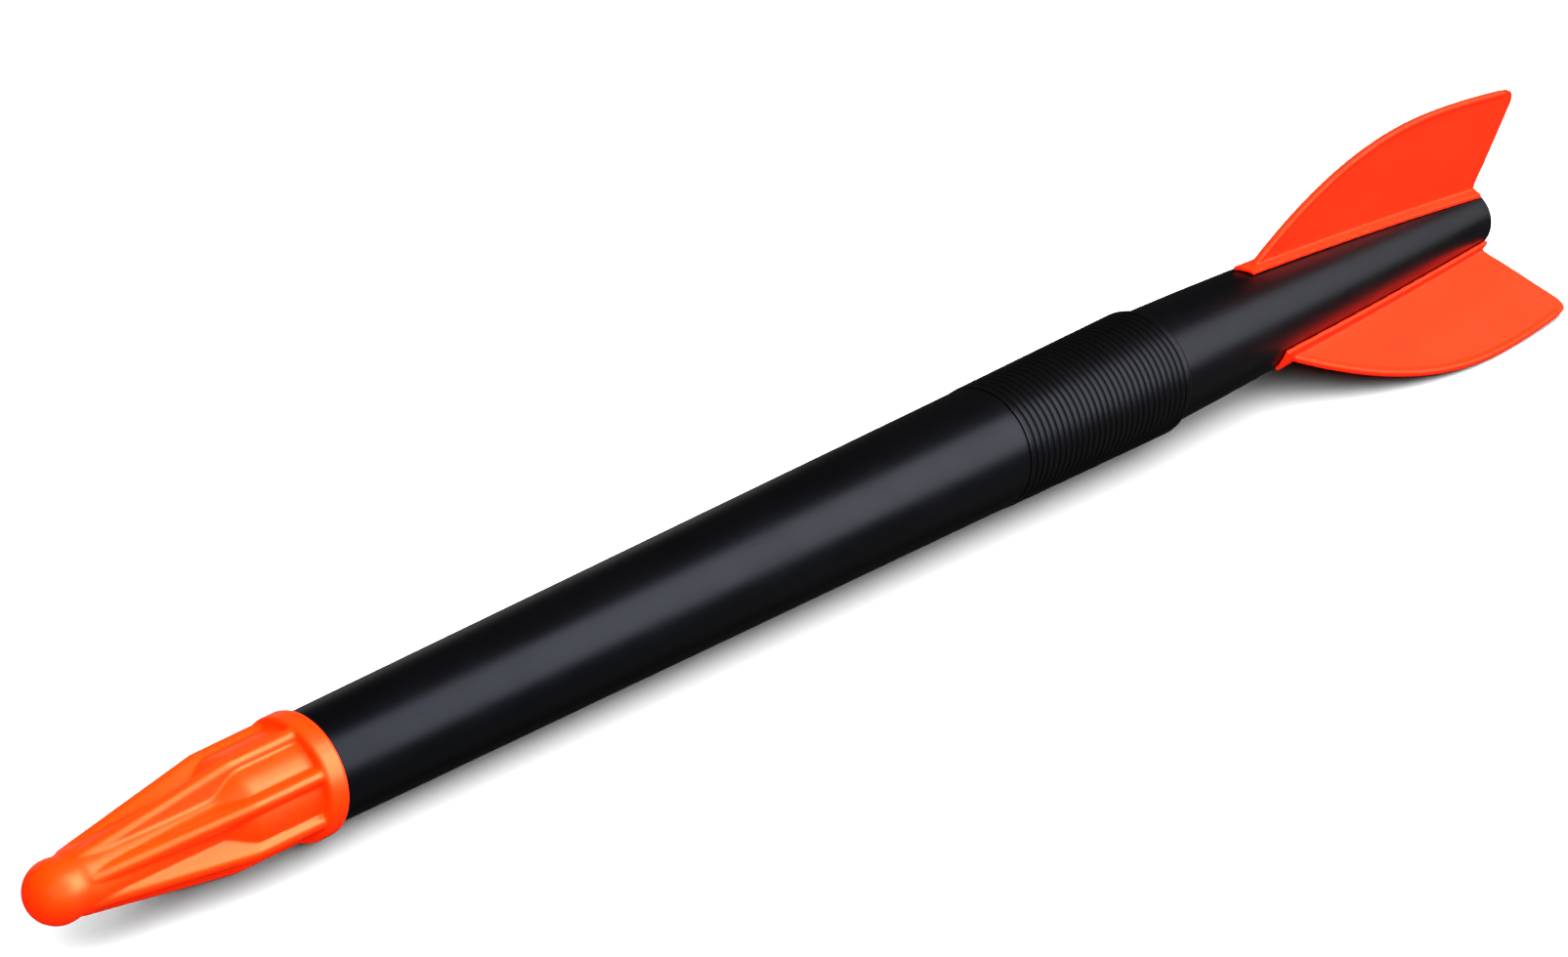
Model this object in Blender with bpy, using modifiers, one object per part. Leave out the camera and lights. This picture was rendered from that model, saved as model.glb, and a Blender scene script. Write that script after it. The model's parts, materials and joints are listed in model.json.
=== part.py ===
"""Children's training javelin: ribbed soft nose, tapered hollow barrel, grooved grip, finned tail.

Every piece is modelled about the javelin's axis, which is the local Z axis with +Z towards the nose. A
station is a distance back from the tip of the nose. One empty then lays the whole javelin on the ground,
where it rests on its collar and on the edges of its two lower fins.
"""

import math

import bmesh
import bpy
from mathutils import Matrix, Vector

# Fit between pieces
CLEARANCE = 0.0003
FACE_GAP = 0.0003

# Nose cap, stations and radii
BALL_RADIUS = 0.0088
BALL_END_ANGLE = 105.0
NECK_LENGTH = 0.0013
NECK_RADIUS = 0.0085
THROAT_STATION = 0.0145
THROAT_RADIUS = 0.0090
COLLAR_RADIUS = 0.0182
COLLAR_WIDTH = 0.0070
COLLAR_ROUNDING = 0.0012
CAP_LENGTH = 0.0916

# Seven-sided core between the ribs, stations and heights of its flats
CORE_START_HEIGHT = 0.0078
CORE_CONE_STATION = 0.0200
CORE_CONE_HEIGHT = 0.0090
CORE_KNEE_STATION = 0.0545
CORE_KNEE_HEIGHT = 0.0106
CORE_RAMP_STATION = 0.0635
CORE_RAMP_HEIGHT = 0.0148
CORE_END_HEIGHT = 0.0150

# Ribs of the nose cap
RIB_COUNT = 7
RIB_ROLL = 18.6
RIB_START_STATION = 0.0140
RIB_START_HEIGHT = 0.0091
RIB_START_WIDTH = 0.0024
RIB_FULL_STATION = 0.0260
RIB_WIDTH = 0.0033
RIB_KNEE_STATION = 0.0620
RIB_KNEE_HEIGHT = 0.0172
RIB_END_HEIGHT = 0.0175
RIB_DRAFT = 9.0
RIB_ROOT_DEPTH = 0.0010
RIB_ROUNDING = 0.0012
RIB_FULLNESS = 0.9

# Socket in the nose cap and the plug that fills it
SOCKET_RADIUS = 0.0126
SOCKET_TAPER_STATION = 0.0650
SOCKET_END_STATION = 0.0530
SOCKET_END_RADIUS = 0.0070
BEAD_STATION = 0.0780
BEAD_HEIGHT = 0.0005
BEAD_LENGTH = 0.0024
PLUG_WALL = 0.0020
PLUG_INSERTION = 0.0290

# Front barrel
BARREL_FRONT_RADIUS = 0.01635
BARREL_REAR_RADIUS = 0.0208
BARREL_LENGTH = 0.2916
BARREL_FRONT_WALL = 0.0022
BARREL_EDGE = 0.0004
STOP_RING_HEIGHT = 0.0009
STOP_RING_WIDTH = 0.0030
GRIP_NECK_RADIUS = 0.0190
GRIP_NECK_WALL = 0.0020
SPIGOT_STEP = 0.0005

# Grip sleeve
GRIP_FRONT_RADIUS = 0.0211
GRIP_REAR_RADIUS = 0.0227
GRIP_LENGTH = 0.0880
GRIP_SHOULDER_LENGTH = 0.0018
GRIP_SHOULDER_DROP = 0.0014
GROOVE_COUNT = 28
GROOVE_FIRST = 0.0023
GROOVE_PITCH = 0.0030
GROOVE_WIDTH = 0.0009
GROOVE_DEPTH = 0.0006

# Tail tube
TAIL_FRONT_RADIUS = 0.0209
TAIL_REAR_RADIUS = 0.0125
TAIL_LENGTH = 0.2139
TAIL_TAPER_POWER = 1.45
TAIL_WALL = 0.0022
SPIGOT_LENGTH = 0.0404

# Tail plug
PLUG_HEAD_THICKNESS = 0.0018
PLUG_HEAD_EDGE = 0.0005
PLUG_HEAD_INSET = 0.0002
PLUG_STEM_LENGTH = 0.0110

# Fins, stations and heights above the axis
FIN_ROLLS = {"fin_top": 180.0, "fin_left": 60.0, "fin_right": -60.0}
FIN_CANT = 1.9
FIN_THICKNESS = 0.0020
FIN_HEIGHT = 0.0543
FIN_CREST_STATION = 0.6430
FIN_CORNER_STATION = 0.7026
FIN_CORNER_HEIGHT = 0.0507
FIN_CORNER_ROUNDING = 0.0070
FIN_ROOT_SETBACK = 0.0045
FIN_ROOT_SINK = 0.0007
FIN_WAIST_STATION = 0.6878
FIN_WAIST_HEIGHT = 0.0230
RISE_REACH = 0.34
RISE_LIFT = 0.74
CREST_REACH = 0.36
CORNER_REACH = 0.6
WAIST_REACH = 0.4
WAIST_TURN = 0.12
RIM_RADIUS = 0.0015
RIM_STAND = 0.0004
FOOT_START_STATION = 0.5340
FOOT_END_GAP = 0.0020
FOOT_WIDTH = 0.0088
FOOT_THICKNESS = 0.0014
TAB_LENGTH = 0.0240
TAB_DEPTH = 0.0016
TAB_INSETS = (0.0160, 0.0150)

# Fineness of the turned pieces
CAP_STEPS = 42
BARREL_STEPS = 42
GRIP_STEPS = 30
BALL_STEPS = 7
EDGE_STEPS = 3
TAPER_STEPS = 9
RIM_STEPS = 8
RIM_SECTION_STEPS = 2
CURVE_STEPS = 6
SHARP_ANGLE = 35.0
SETTLE_ROUNDS = 6
MERGE_DISTANCE = 0.00001

# Stations that follow from the sizes above
COLLAR_STATION = CAP_LENGTH - COLLAR_WIDTH
BARREL_STATION = CAP_LENGTH + FACE_GAP
GRIP_STATION = BARREL_STATION + BARREL_LENGTH
SLEEVE_STATION = GRIP_STATION + FACE_GAP
TAIL_STATION = SLEEVE_STATION + GRIP_LENGTH + FACE_GAP
NECK_END_STATION = TAIL_STATION - FACE_GAP
TAIL_END_STATION = TAIL_STATION + TAIL_LENGTH
SPIGOT_STATION = TAIL_STATION - SPIGOT_LENGTH
SPIGOT_RADIUS = GRIP_NECK_RADIUS - GRIP_NECK_WALL - CLEARANCE
FOOT_END_STATION = TAIL_END_STATION - FOOT_END_GAP
FOOT_MIDDLE_STATION = (FOOT_START_STATION + FOOT_END_STATION) / 2


def remove_scene_objects():
    """Empties the scene without closing the file."""
    for obj in list(bpy.data.objects):
        bpy.data.objects.remove(obj, do_unlink=True)


def new_collection(name):
    collection = bpy.data.collections.new(name)
    bpy.context.scene.collection.children.link(collection)
    return collection


def plastic(name, colour, roughness, coat=0.0):
    """A Principled material for one kind of moulded plastic."""
    material = bpy.data.materials.new(name)
    material.use_nodes = True
    shader = material.node_tree.nodes["Principled BSDF"]
    shader.inputs["Base Color"].default_value = (*colour, 1.0)
    shader.inputs["Roughness"].default_value = roughness
    shader.inputs["Metallic"].default_value = 0.0
    shader.inputs["Coat Weight"].default_value = coat
    material.diffuse_color = (*colour, 1.0)
    return material


def add_piece(name, mesh, material, collection, parent):
    """One named sub-part of the javelin, carried by the empty."""
    mesh.materials.clear()
    mesh.materials.append(material)
    piece = bpy.data.objects.new(name, mesh)
    collection.objects.link(piece)
    piece.parent = parent
    return piece


def add_helper(name, mesh, collection, parent=None):
    """A cutter or a shape to be joined, which is not a sub-part."""
    helper = bpy.data.objects.new(name, mesh)
    collection.objects.link(helper)
    helper.parent = parent
    helper.hide_render = True
    helper.display_type = "WIRE"
    return helper


def boolean(target, operation, other):
    modifier = target.modifiers.new(operation.title() + " " + other.name, "BOOLEAN")
    modifier.operation = operation
    modifier.solver = "EXACT"
    modifier.object = other


def profile_mesh(name, outline, closed):
    """An outline of (station, radius) points as a chain of edges at +X, for a Screw modifier."""
    mesh = bpy.data.meshes.new(name)
    points = [(radius, 0.0, -station) for station, radius in outline]
    edges = [(i, i + 1) for i in range(len(points) - 1)]
    if closed:
        edges.append((len(points) - 1, 0))
    mesh.from_pydata(points, edges, [])
    return mesh


def turn(obj, steps):
    """Turns a profile about the javelin's axis."""
    screw = obj.modifiers.new("Turned", "SCREW")
    screw.axis = "Z"
    screw.angle = math.tau
    screw.steps = steps
    screw.render_steps = steps
    screw.use_merge_vertices = True
    screw.merge_threshold = MERGE_DISTANCE
    screw.use_smooth_shade = True


def evaluated_mesh(obj):
    """The shape of an object after its modifiers, with its points in world space."""
    bpy.context.view_layer.update()
    graph = bpy.context.evaluated_depsgraph_get()
    mesh = bpy.data.meshes.new_from_object(obj.evaluated_get(graph))
    mesh.transform(obj.matrix_world)
    return mesh


def weld(mesh):
    """Closes a curve's loose caps onto its sides."""
    shape = bmesh.new()
    shape.from_mesh(mesh)
    bmesh.ops.remove_doubles(shape, verts=shape.verts, dist=MERGE_DISTANCE)
    bmesh.ops.recalc_face_normals(shape, faces=shape.faces)
    shape.to_mesh(mesh)
    shape.free()


def arc(centre_station, centre_radius, length, height, start, end, steps):
    """Points of an elliptical arc, angles in degrees from the direction of the tip."""
    points = []
    for i in range(steps + 1):
        angle = math.radians(start + (end - start) * i / steps)
        station = centre_station - length * math.cos(angle)
        points.append((station, centre_radius + height * math.sin(angle)))
    return points


def along(start, end, station):
    """Radius at a station on the straight line between two (station, radius) points."""
    share = (station - start[0]) / (end[0] - start[0])
    return start[1] + (end[1] - start[1]) * share


def core_line():
    """(station, height) points of the core's flats, from the throat to inside the collar."""
    return [
        (THROAT_STATION, CORE_START_HEIGHT),
        (CORE_CONE_STATION, CORE_CONE_HEIGHT),
        (CORE_KNEE_STATION, CORE_KNEE_HEIGHT),
        (CORE_RAMP_STATION, CORE_RAMP_HEIGHT),
        (COLLAR_STATION + COLLAR_ROUNDING, CORE_END_HEIGHT),
    ]


def core_height(station):
    """Height of the core's flats above the axis."""
    line = core_line()
    start, end = next(pair for pair in zip(line, line[1:]) if station <= pair[1][0])
    return along(start, end, station)


def rib_crest(station):
    """Height of the ribs' crest above the axis."""
    start = (RIB_START_STATION, RIB_START_HEIGHT)
    knee = (RIB_KNEE_STATION, RIB_KNEE_HEIGHT)
    if station <= RIB_KNEE_STATION:
        return along(start, knee, station)
    return along(knee, (COLLAR_STATION, RIB_END_HEIGHT), station)


def rib_width(station):
    start = (RIB_START_STATION, RIB_START_WIDTH)
    return min(RIB_WIDTH, along(start, (RIB_FULL_STATION, RIB_WIDTH), station))


def rib_section(station):
    """Cross-section of a rib as (sideways, height) points, from its drafted foot over its crest."""
    half = rib_width(station) / 2
    crest = rib_crest(station)
    rounding = min(RIB_ROUNDING, half * RIB_FULLNESS)
    root = core_height(station) - RIB_ROOT_DEPTH
    spread = (crest - rounding - root) * math.tan(math.radians(RIB_DRAFT))
    points = [(-half - spread, root)]
    for i in range(EDGE_STEPS + 1):
        angle = math.pi / 2 * i / EDGE_STEPS
        sideways = rounding - half - rounding * math.cos(angle)
        points.append((sideways, crest - rounding * (1 - math.sin(angle))))
    points += [(-sideways, height) for sideways, height in reversed(points)]
    return points


def ribs_mesh():
    """All ribs of the nose cap, each a loft between its cross-sections, as separate bodies."""
    bends = [RIB_START_STATION, RIB_FULL_STATION, RIB_KNEE_STATION]
    stations = sorted(bends + [station for station, height in core_line()[1:]])
    shape = bmesh.new()
    for rib in range(RIB_COUNT):
        turned = Matrix.Rotation(math.radians(RIB_ROLL) + math.tau * rib / RIB_COUNT, 3, "Z")
        rings = []
        for station in stations:
            section = rib_section(station)
            rings.append([shape.verts.new(turned @ Vector((h, y, -station))) for y, h in section])
        for front, back in zip(rings, rings[1:]):
            for i in range(len(front)):
                j = (i + 1) % len(front)
                shape.faces.new((front[i], front[j], back[j], back[i]))
        shape.faces.new(rings[0])
        shape.faces.new(rings[-1])
    bmesh.ops.recalc_face_normals(shape, faces=shape.faces)
    mesh = bpy.data.meshes.new("nose_cap_ribs")
    shape.to_mesh(mesh)
    shape.free()
    return mesh


def add_core(cutters, parent):
    """The core with a flat between each two ribs, and so with a corner under each rib."""
    corner = 1.0 / math.cos(math.pi / RIB_COUNT)
    line = core_line()
    outline = [(line[0][0], 0.0)]
    outline += [(station, height * corner) for station, height in line]
    outline.append((line[-1][0], 0.0))
    core = add_helper("nose_cap_core", profile_mesh("nose_cap_core", outline, False), cutters, parent)
    core.rotation_euler = (0.0, 0.0, math.radians(RIB_ROLL))
    turn(core, RIB_COUNT)
    return core


def add_socket(cutters, parent):
    """The stepped hole in the back of the nose cap, which takes the plug."""
    outline = [
        (SOCKET_END_STATION, 0.0),
        (SOCKET_END_STATION, SOCKET_END_RADIUS),
        (SOCKET_TAPER_STATION, SOCKET_RADIUS),
    ]
    outline += bead_bumps(SOCKET_RADIUS, BEAD_HEIGHT)
    outline += [(CAP_LENGTH + FACE_GAP, SOCKET_RADIUS), (CAP_LENGTH + FACE_GAP, 0.0)]
    mesh = profile_mesh("nose_cap_socket", outline, False)
    socket = add_helper("nose_cap_socket", mesh, cutters, parent)
    turn(socket, CAP_STEPS)
    return socket


def bead_bumps(radius, bump):
    """A shallow bead at the bead's station, as (station, radius) points from front to back."""
    half = BEAD_LENGTH / 2
    return [
        (BEAD_STATION - half - bump, radius),
        (BEAD_STATION - half, radius + bump),
        (BEAD_STATION + half, radius + bump),
        (BEAD_STATION + half + bump, radius),
    ]


def make_nose_cap(material, parts, cutters, parent):
    outline = arc(BALL_RADIUS, 0.0, BALL_RADIUS, BALL_RADIUS, 0.0, BALL_END_ANGLE, BALL_STEPS)
    outline[0] = (0.0, 0.0)
    outline += [
        (outline[-1][0] + NECK_LENGTH, NECK_RADIUS),
        (THROAT_STATION, THROAT_RADIUS),
        (CORE_CONE_STATION, THROAT_RADIUS),
        (CORE_CONE_STATION, CORE_START_HEIGHT),
        (COLLAR_STATION, CORE_START_HEIGHT),
    ]
    crown = COLLAR_RADIUS - COLLAR_ROUNDING
    front = COLLAR_STATION + COLLAR_ROUNDING
    back = CAP_LENGTH - COLLAR_ROUNDING
    outline += arc(front, crown, COLLAR_ROUNDING, COLLAR_ROUNDING, 0.0, 90.0, EDGE_STEPS)
    outline += arc(back, crown, COLLAR_ROUNDING, COLLAR_ROUNDING, 90.0, 180.0, EDGE_STEPS)
    outline.append((CAP_LENGTH, 0.0))
    cap = add_piece("nose_cap", profile_mesh("nose_cap", outline, False), material, parts, parent)
    turn(cap, CAP_STEPS)
    boolean(cap, "UNION", add_core(cutters, parent))
    boolean(cap, "UNION", add_helper("nose_cap_ribs", ribs_mesh(), cutters, parent))
    boolean(cap, "DIFFERENCE", add_socket(cutters, parent))


def barrel_bore(station):
    """Radius of the barrel's tapered bore, from the plug's seat to the spigot's socket."""
    front = (BARREL_STATION, BARREL_FRONT_RADIUS - BARREL_FRONT_WALL)
    back = (SPIGOT_STATION, SPIGOT_RADIUS + CLEARANCE - SPIGOT_STEP)
    return along(front, back, station)


def make_nose_plug(material, parts, parent):
    slim = SOCKET_RADIUS - CLEARANCE
    wide = BARREL_FRONT_RADIUS - BARREL_FRONT_WALL - CLEARANCE
    tip = SOCKET_END_STATION + FACE_GAP
    end = BARREL_STATION + PLUG_INSERTION
    tip_radius = SOCKET_END_RADIUS - CLEARANCE
    outline = [(tip, 0.0), (tip, tip_radius), (SOCKET_TAPER_STATION, slim)]
    outline += bead_bumps(slim, BEAD_HEIGHT)
    outline += [(BARREL_STATION, slim), (BARREL_STATION, wide), (end, wide)]
    outline += [(end, wide - PLUG_WALL), (BARREL_STATION, slim - PLUG_WALL)]
    outline += [(SOCKET_TAPER_STATION, slim - PLUG_WALL), (tip + PLUG_WALL, tip_radius - PLUG_WALL)]
    outline.append((tip + PLUG_WALL, 0.0))
    plug = add_piece("nose_plug", profile_mesh("nose_plug", outline, False), material, parts, parent)
    turn(plug, BARREL_STEPS)


def make_front_barrel(material, parts, parent):
    seat = BARREL_FRONT_RADIUS - BARREL_FRONT_WALL
    stop = BARREL_STATION + PLUG_INSERTION + FACE_GAP
    socket_end = SPIGOT_STATION - FACE_GAP
    socket_radius = SPIGOT_RADIUS + CLEARANCE
    outline = [
        (BARREL_STATION, BARREL_FRONT_RADIUS - BARREL_EDGE),
        (BARREL_STATION + BARREL_EDGE, BARREL_FRONT_RADIUS),
        (GRIP_STATION - BARREL_EDGE, BARREL_REAR_RADIUS),
        (GRIP_STATION, BARREL_REAR_RADIUS - BARREL_EDGE),
        (GRIP_STATION, GRIP_NECK_RADIUS),
        (NECK_END_STATION, GRIP_NECK_RADIUS),
        (NECK_END_STATION, socket_radius),
        (socket_end, socket_radius),
        (socket_end, socket_radius - SPIGOT_STEP),
        (stop + STOP_RING_WIDTH, barrel_bore(stop + STOP_RING_WIDTH)),
        (stop + STOP_RING_WIDTH, seat - STOP_RING_HEIGHT),
        (stop, seat - STOP_RING_HEIGHT),
        (stop, seat),
        (BARREL_STATION, seat),
    ]
    mesh = profile_mesh("front_barrel", outline, True)
    barrel = add_piece("front_barrel", mesh, material, parts, parent)
    turn(barrel, BARREL_STEPS)


def grip_radius(station):
    """Radius of the grip's lands, which carry on the taper of the barrel."""
    start = (SLEEVE_STATION, GRIP_FRONT_RADIUS)
    end = (SLEEVE_STATION + GRIP_LENGTH - GRIP_SHOULDER_LENGTH, GRIP_REAR_RADIUS)
    return along(start, end, station)


def make_grip_sleeve(material, parts, parent):
    outline = [(SLEEVE_STATION, GRIP_FRONT_RADIUS)]
    for groove in range(GROOVE_COUNT):
        middle = SLEEVE_STATION + GROOVE_FIRST + GROOVE_WIDTH / 2 + groove * GROOVE_PITCH
        outline.append((middle - GROOVE_WIDTH / 2, grip_radius(middle)))
        outline.append((middle, grip_radius(middle) - GROOVE_DEPTH))
        outline.append((middle + GROOVE_WIDTH / 2, grip_radius(middle)))
    end = SLEEVE_STATION + GRIP_LENGTH
    crown = GRIP_REAR_RADIUS - GRIP_SHOULDER_DROP
    start = end - GRIP_SHOULDER_LENGTH
    outline += arc(start, crown, GRIP_SHOULDER_LENGTH, GRIP_SHOULDER_DROP, 90.0, 180.0, 2 * EDGE_STEPS)
    bore = GRIP_NECK_RADIUS + CLEARANCE
    outline += [(end, bore), (SLEEVE_STATION, bore)]
    mesh = profile_mesh("grip_sleeve", outline, True)
    sleeve = add_piece("grip_sleeve", mesh, material, parts, parent)
    turn(sleeve, GRIP_STEPS)


def tail_radius(station):
    """Outer radius of the tail tube, which leaves the grip level and tapers ever faster."""
    share = (station - TAIL_STATION) / TAIL_LENGTH
    share = min(max(share, 0.0), 1.0)
    return TAIL_FRONT_RADIUS - (TAIL_FRONT_RADIUS - TAIL_REAR_RADIUS) * share**TAIL_TAPER_POWER


def tail_stations(first, last):
    return [first + (last - first) * i / TAPER_STEPS for i in range(TAPER_STEPS + 1)]


def make_tail_tube(material, parts, cutters, parent):
    end = TAIL_END_STATION - PLUG_HEAD_THICKNESS - FACE_GAP
    outline = [(SPIGOT_STATION, SPIGOT_RADIUS), (TAIL_STATION, SPIGOT_RADIUS)]
    outline += [(station, tail_radius(station)) for station in tail_stations(TAIL_STATION, end)]
    inside = tail_stations(TAIL_STATION + TAIL_WALL, end)
    outline += [(station, tail_radius(station) - TAIL_WALL) for station in reversed(inside)]
    bore = SPIGOT_RADIUS - TAIL_WALL
    outline += [(TAIL_STATION + TAIL_WALL, bore), (SPIGOT_STATION, bore)]
    tube = add_piece("tail_tube", profile_mesh("tail_tube", outline, True), material, parts, parent)
    turn(tube, BARREL_STEPS)
    boolean(tube, "DIFFERENCE", add_helper("tail_slots", slots_mesh(), cutters, parent))


def tab_spans():
    """The (front, back) stations of the two tabs under each fin."""
    front = FOOT_START_STATION + TAB_INSETS[0]
    back = FOOT_END_STATION - TAB_INSETS[1]
    return [(front, front + TAB_LENGTH), (back - TAB_LENGTH, back)]


def tab_bottom(front, back):
    """Height above the axis to which a tab reaches inside the tail tube."""
    return min(tail_radius(front), tail_radius(back)) - TAIL_WALL - TAB_DEPTH


def slots_mesh():
    """Blocks that cut a slot in the tail tube's wall for each tab of each fin."""
    shape = bmesh.new()
    for roll in FIN_ROLLS.values():
        for front, back in tab_spans():
            low = tab_bottom(front, back) - TAB_DEPTH
            high = tail_radius(front) + TAB_DEPTH
            place = fin_frame(roll) @ Matrix.Translation(((front + back) / 2, (low + high) / 2, 0.0))
            size = (back - front + 2 * CLEARANCE, high - low, FIN_THICKNESS + 2 * CLEARANCE, 1.0)
            bmesh.ops.create_cube(shape, size=1.0, matrix=place @ Matrix.Diagonal(size))
    mesh = bpy.data.meshes.new("tail_slots")
    shape.to_mesh(mesh)
    shape.free()
    return mesh


def make_tail_plug(material, parts, parent):
    head = TAIL_END_STATION - PLUG_HEAD_THICKNESS
    edge = TAIL_REAR_RADIUS - PLUG_HEAD_INSET
    stem = TAIL_REAR_RADIUS - TAIL_WALL - CLEARANCE
    outline = [
        (head - PLUG_STEM_LENGTH, 0.0),
        (head - PLUG_STEM_LENGTH, stem - PLUG_HEAD_EDGE),
        (head - PLUG_STEM_LENGTH + PLUG_HEAD_EDGE, stem),
        (head, stem),
        (head, edge),
        (TAIL_END_STATION - PLUG_HEAD_EDGE, edge),
        (TAIL_END_STATION, edge - PLUG_HEAD_EDGE),
        (TAIL_END_STATION, 0.0),
    ]
    plug = add_piece("tail_plug", profile_mesh("tail_plug", outline, False), material, parts, parent)
    turn(plug, BARREL_STEPS)


def foot_top(station):
    """Height of the top of a fin's foot above the axis."""
    return tail_radius(station) + CLEARANCE + FOOT_THICKNESS


def fin_edge_points():
    """Bezier points of the fin's free edge, from the foot's front round to the foot's back.

    Each is (point, handle before, handle after) in (station, height).
    """
    front = FOOT_START_STATION + FIN_ROOT_SETBACK
    start = Vector((front, foot_top(front) - FIN_ROOT_SINK))
    crest = Vector((FIN_CREST_STATION, FIN_HEIGHT))
    corner = Vector((FIN_CORNER_STATION, FIN_CORNER_HEIGHT))
    waist = Vector((FIN_WAIST_STATION, FIN_WAIST_HEIGHT))
    end = Vector((FOOT_END_STATION - FIN_ROOT_SINK, foot_top(FOOT_END_STATION) - FIN_ROOT_SINK))

    rise = crest - start
    reach = Vector((RISE_REACH * rise.x, 0.0))
    over = crest + Vector((CREST_REACH * (corner.x - crest.x), 0.0))
    shoulder = corner + FIN_CORNER_ROUNDING * (over - corner).normalized()
    tip = corner + FIN_CORNER_ROUNDING * (waist - corner).normalized()
    lean = tip - waist
    return [
        (start, start, start + Vector((RISE_REACH * rise.x, RISE_LIFT * rise.y))),
        (crest, crest - reach, over),
        (shoulder, shoulder.lerp(over, CREST_REACH), shoulder.lerp(corner, CORNER_REACH)),
        (tip, tip.lerp(corner, CORNER_REACH), tip.lerp(waist, RISE_REACH)),
        (waist, waist + WAIST_REACH * lean, waist - WAIST_TURN * lean),
        (end, end + Vector((0.0, RISE_REACH * (waist.y - end.y))), end),
    ]


def flat_outline(name, thickness):
    """An empty 2D curve that fills to a slab of this thickness, in (station, height)."""
    curve = bpy.data.curves.new(name, "CURVE")
    curve.dimensions = "2D"
    curve.fill_mode = "BOTH"
    curve.extrude = thickness / 2
    curve.resolution_u = CURVE_STEPS
    return curve


def fin_frame(roll):
    """Turns (station, height, sideways) of a fin into the javelin's axes, canted about its foot."""
    axes = Matrix(((0.0, 1.0, 0.0), (0.0, 0.0, -1.0), (-1.0, 0.0, 0.0))).to_4x4()
    middle = Matrix.Translation((FOOT_MIDDLE_STATION, 0.0, 0.0))
    canted = middle @ Matrix.Rotation(math.radians(-FIN_CANT), 4, "Y") @ middle.inverted()
    return Matrix.Rotation(math.radians(roll), 4, "Z") @ axes @ canted


def solid_from_curve(name, curve, collection):
    """A curve as a closed mesh object in the javelin's axes, for Booleans."""
    drawn = bpy.data.objects.new(name + "_drawn", curve)
    collection.objects.link(drawn)
    drawn.matrix_world = fin_frame(0.0)
    mesh = evaluated_mesh(drawn)
    bpy.data.objects.remove(drawn)
    weld(mesh)
    return add_helper(name, mesh, collection)


def draw_plate(collection):
    """The fin's plate with the two tabs that go through the tail tube's wall."""
    curve = flat_outline("fin_plate", FIN_THICKNESS)
    edge = curve.splines.new("BEZIER")
    free_edge = fin_edge_points()
    root = []
    for front, back in reversed(tab_spans()):
        low = tab_bottom(front, back)
        root += [(back, foot_top(back) - FIN_ROOT_SINK), (back, low)]
        root += [(front, low), (front, foot_top(front) - FIN_ROOT_SINK)]
    edge.bezier_points.add(len(free_edge) + len(root) - 1)
    for point, (place, before, after) in zip(edge.bezier_points, free_edge):
        point.co = (*place, 0.0)
        point.handle_left = (*before, 0.0)
        point.handle_right = (*after, 0.0)
    for point, place in zip(edge.bezier_points[len(free_edge) :], root):
        point.handle_left_type = "VECTOR"
        point.handle_right_type = "VECTOR"
        point.co = (*place, 0.0)
    edge.use_cyclic_u = True
    return solid_from_curve("fin_plate", curve, collection)


def draw_foot(collection):
    """The foot: a strip with the tail tube's own curve, cut from a shell that fits round the tube."""
    stations = tail_stations(TAIL_STATION, TAIL_END_STATION)
    outline = [(station, foot_top(station)) for station in stations]
    outline += [(station, foot_top(station) - FOOT_THICKNESS) for station in reversed(stations)]
    foot = add_helper("fin_foot", profile_mesh("fin_foot", outline, True), collection)
    turn(foot, BARREL_STEPS)
    shape = bmesh.new()
    size = (FOOT_END_STATION - FOOT_START_STATION, TAIL_FRONT_RADIUS, FOOT_WIDTH, 1.0)
    place = fin_frame(0.0) @ Matrix.Translation((FOOT_MIDDLE_STATION, TAIL_FRONT_RADIUS, 0.0))
    bmesh.ops.create_cube(shape, size=1.0, matrix=place @ Matrix.Diagonal(size))
    mesh = bpy.data.meshes.new("fin_strip")
    shape.to_mesh(mesh)
    shape.free()
    boolean(foot, "INTERSECT", add_helper("fin_strip", mesh, collection))
    return foot


def bezier_point(before, after, share):
    """A point on the cubic between two (point, handle before, handle after) entries."""
    a, b, c, d = (Vector(place) for place in (before[0], before[2], after[1], after[0]))
    rest = 1.0 - share
    return rest**3 * a + 3 * rest**2 * share * b + 3 * rest * share**2 * c + share**3 * d


def rim_centre():
    """Centre of the rim, which runs inside the fin's front edge and stands a little proud of it."""
    start, crest, shoulder = fin_edge_points()[:3]
    edge = [bezier_point(start, crest, i / RIM_STEPS) for i in range(RIM_STEPS)]
    edge += [bezier_point(crest, shoulder, i / RIM_STEPS) for i in range(RIM_STEPS + 1)]
    centre = []
    for before, place, after in zip(edge, edge[1:], edge[2:]):
        forward = (after - before).normalized()
        inward = Vector((forward.y, -forward.x))
        centre.append(place + inward * (RIM_RADIUS - RIM_STAND))
    return centre


def draw_rim(collection):
    """The rounded rim along the fin's curved front edge."""
    curve = bpy.data.curves.new("fin_rim", "CURVE")
    curve.dimensions = "3D"
    curve.bevel_depth = RIM_RADIUS
    curve.bevel_resolution = RIM_SECTION_STEPS
    curve.use_fill_caps = True
    line = curve.splines.new("POLY")
    centre = rim_centre()
    line.points.add(len(centre) - 1)
    for point, (station, height) in zip(line.points, centre):
        point.co = (station, height, 0.0, 1.0)
    return solid_from_curve("fin_rim", curve, collection)


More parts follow.
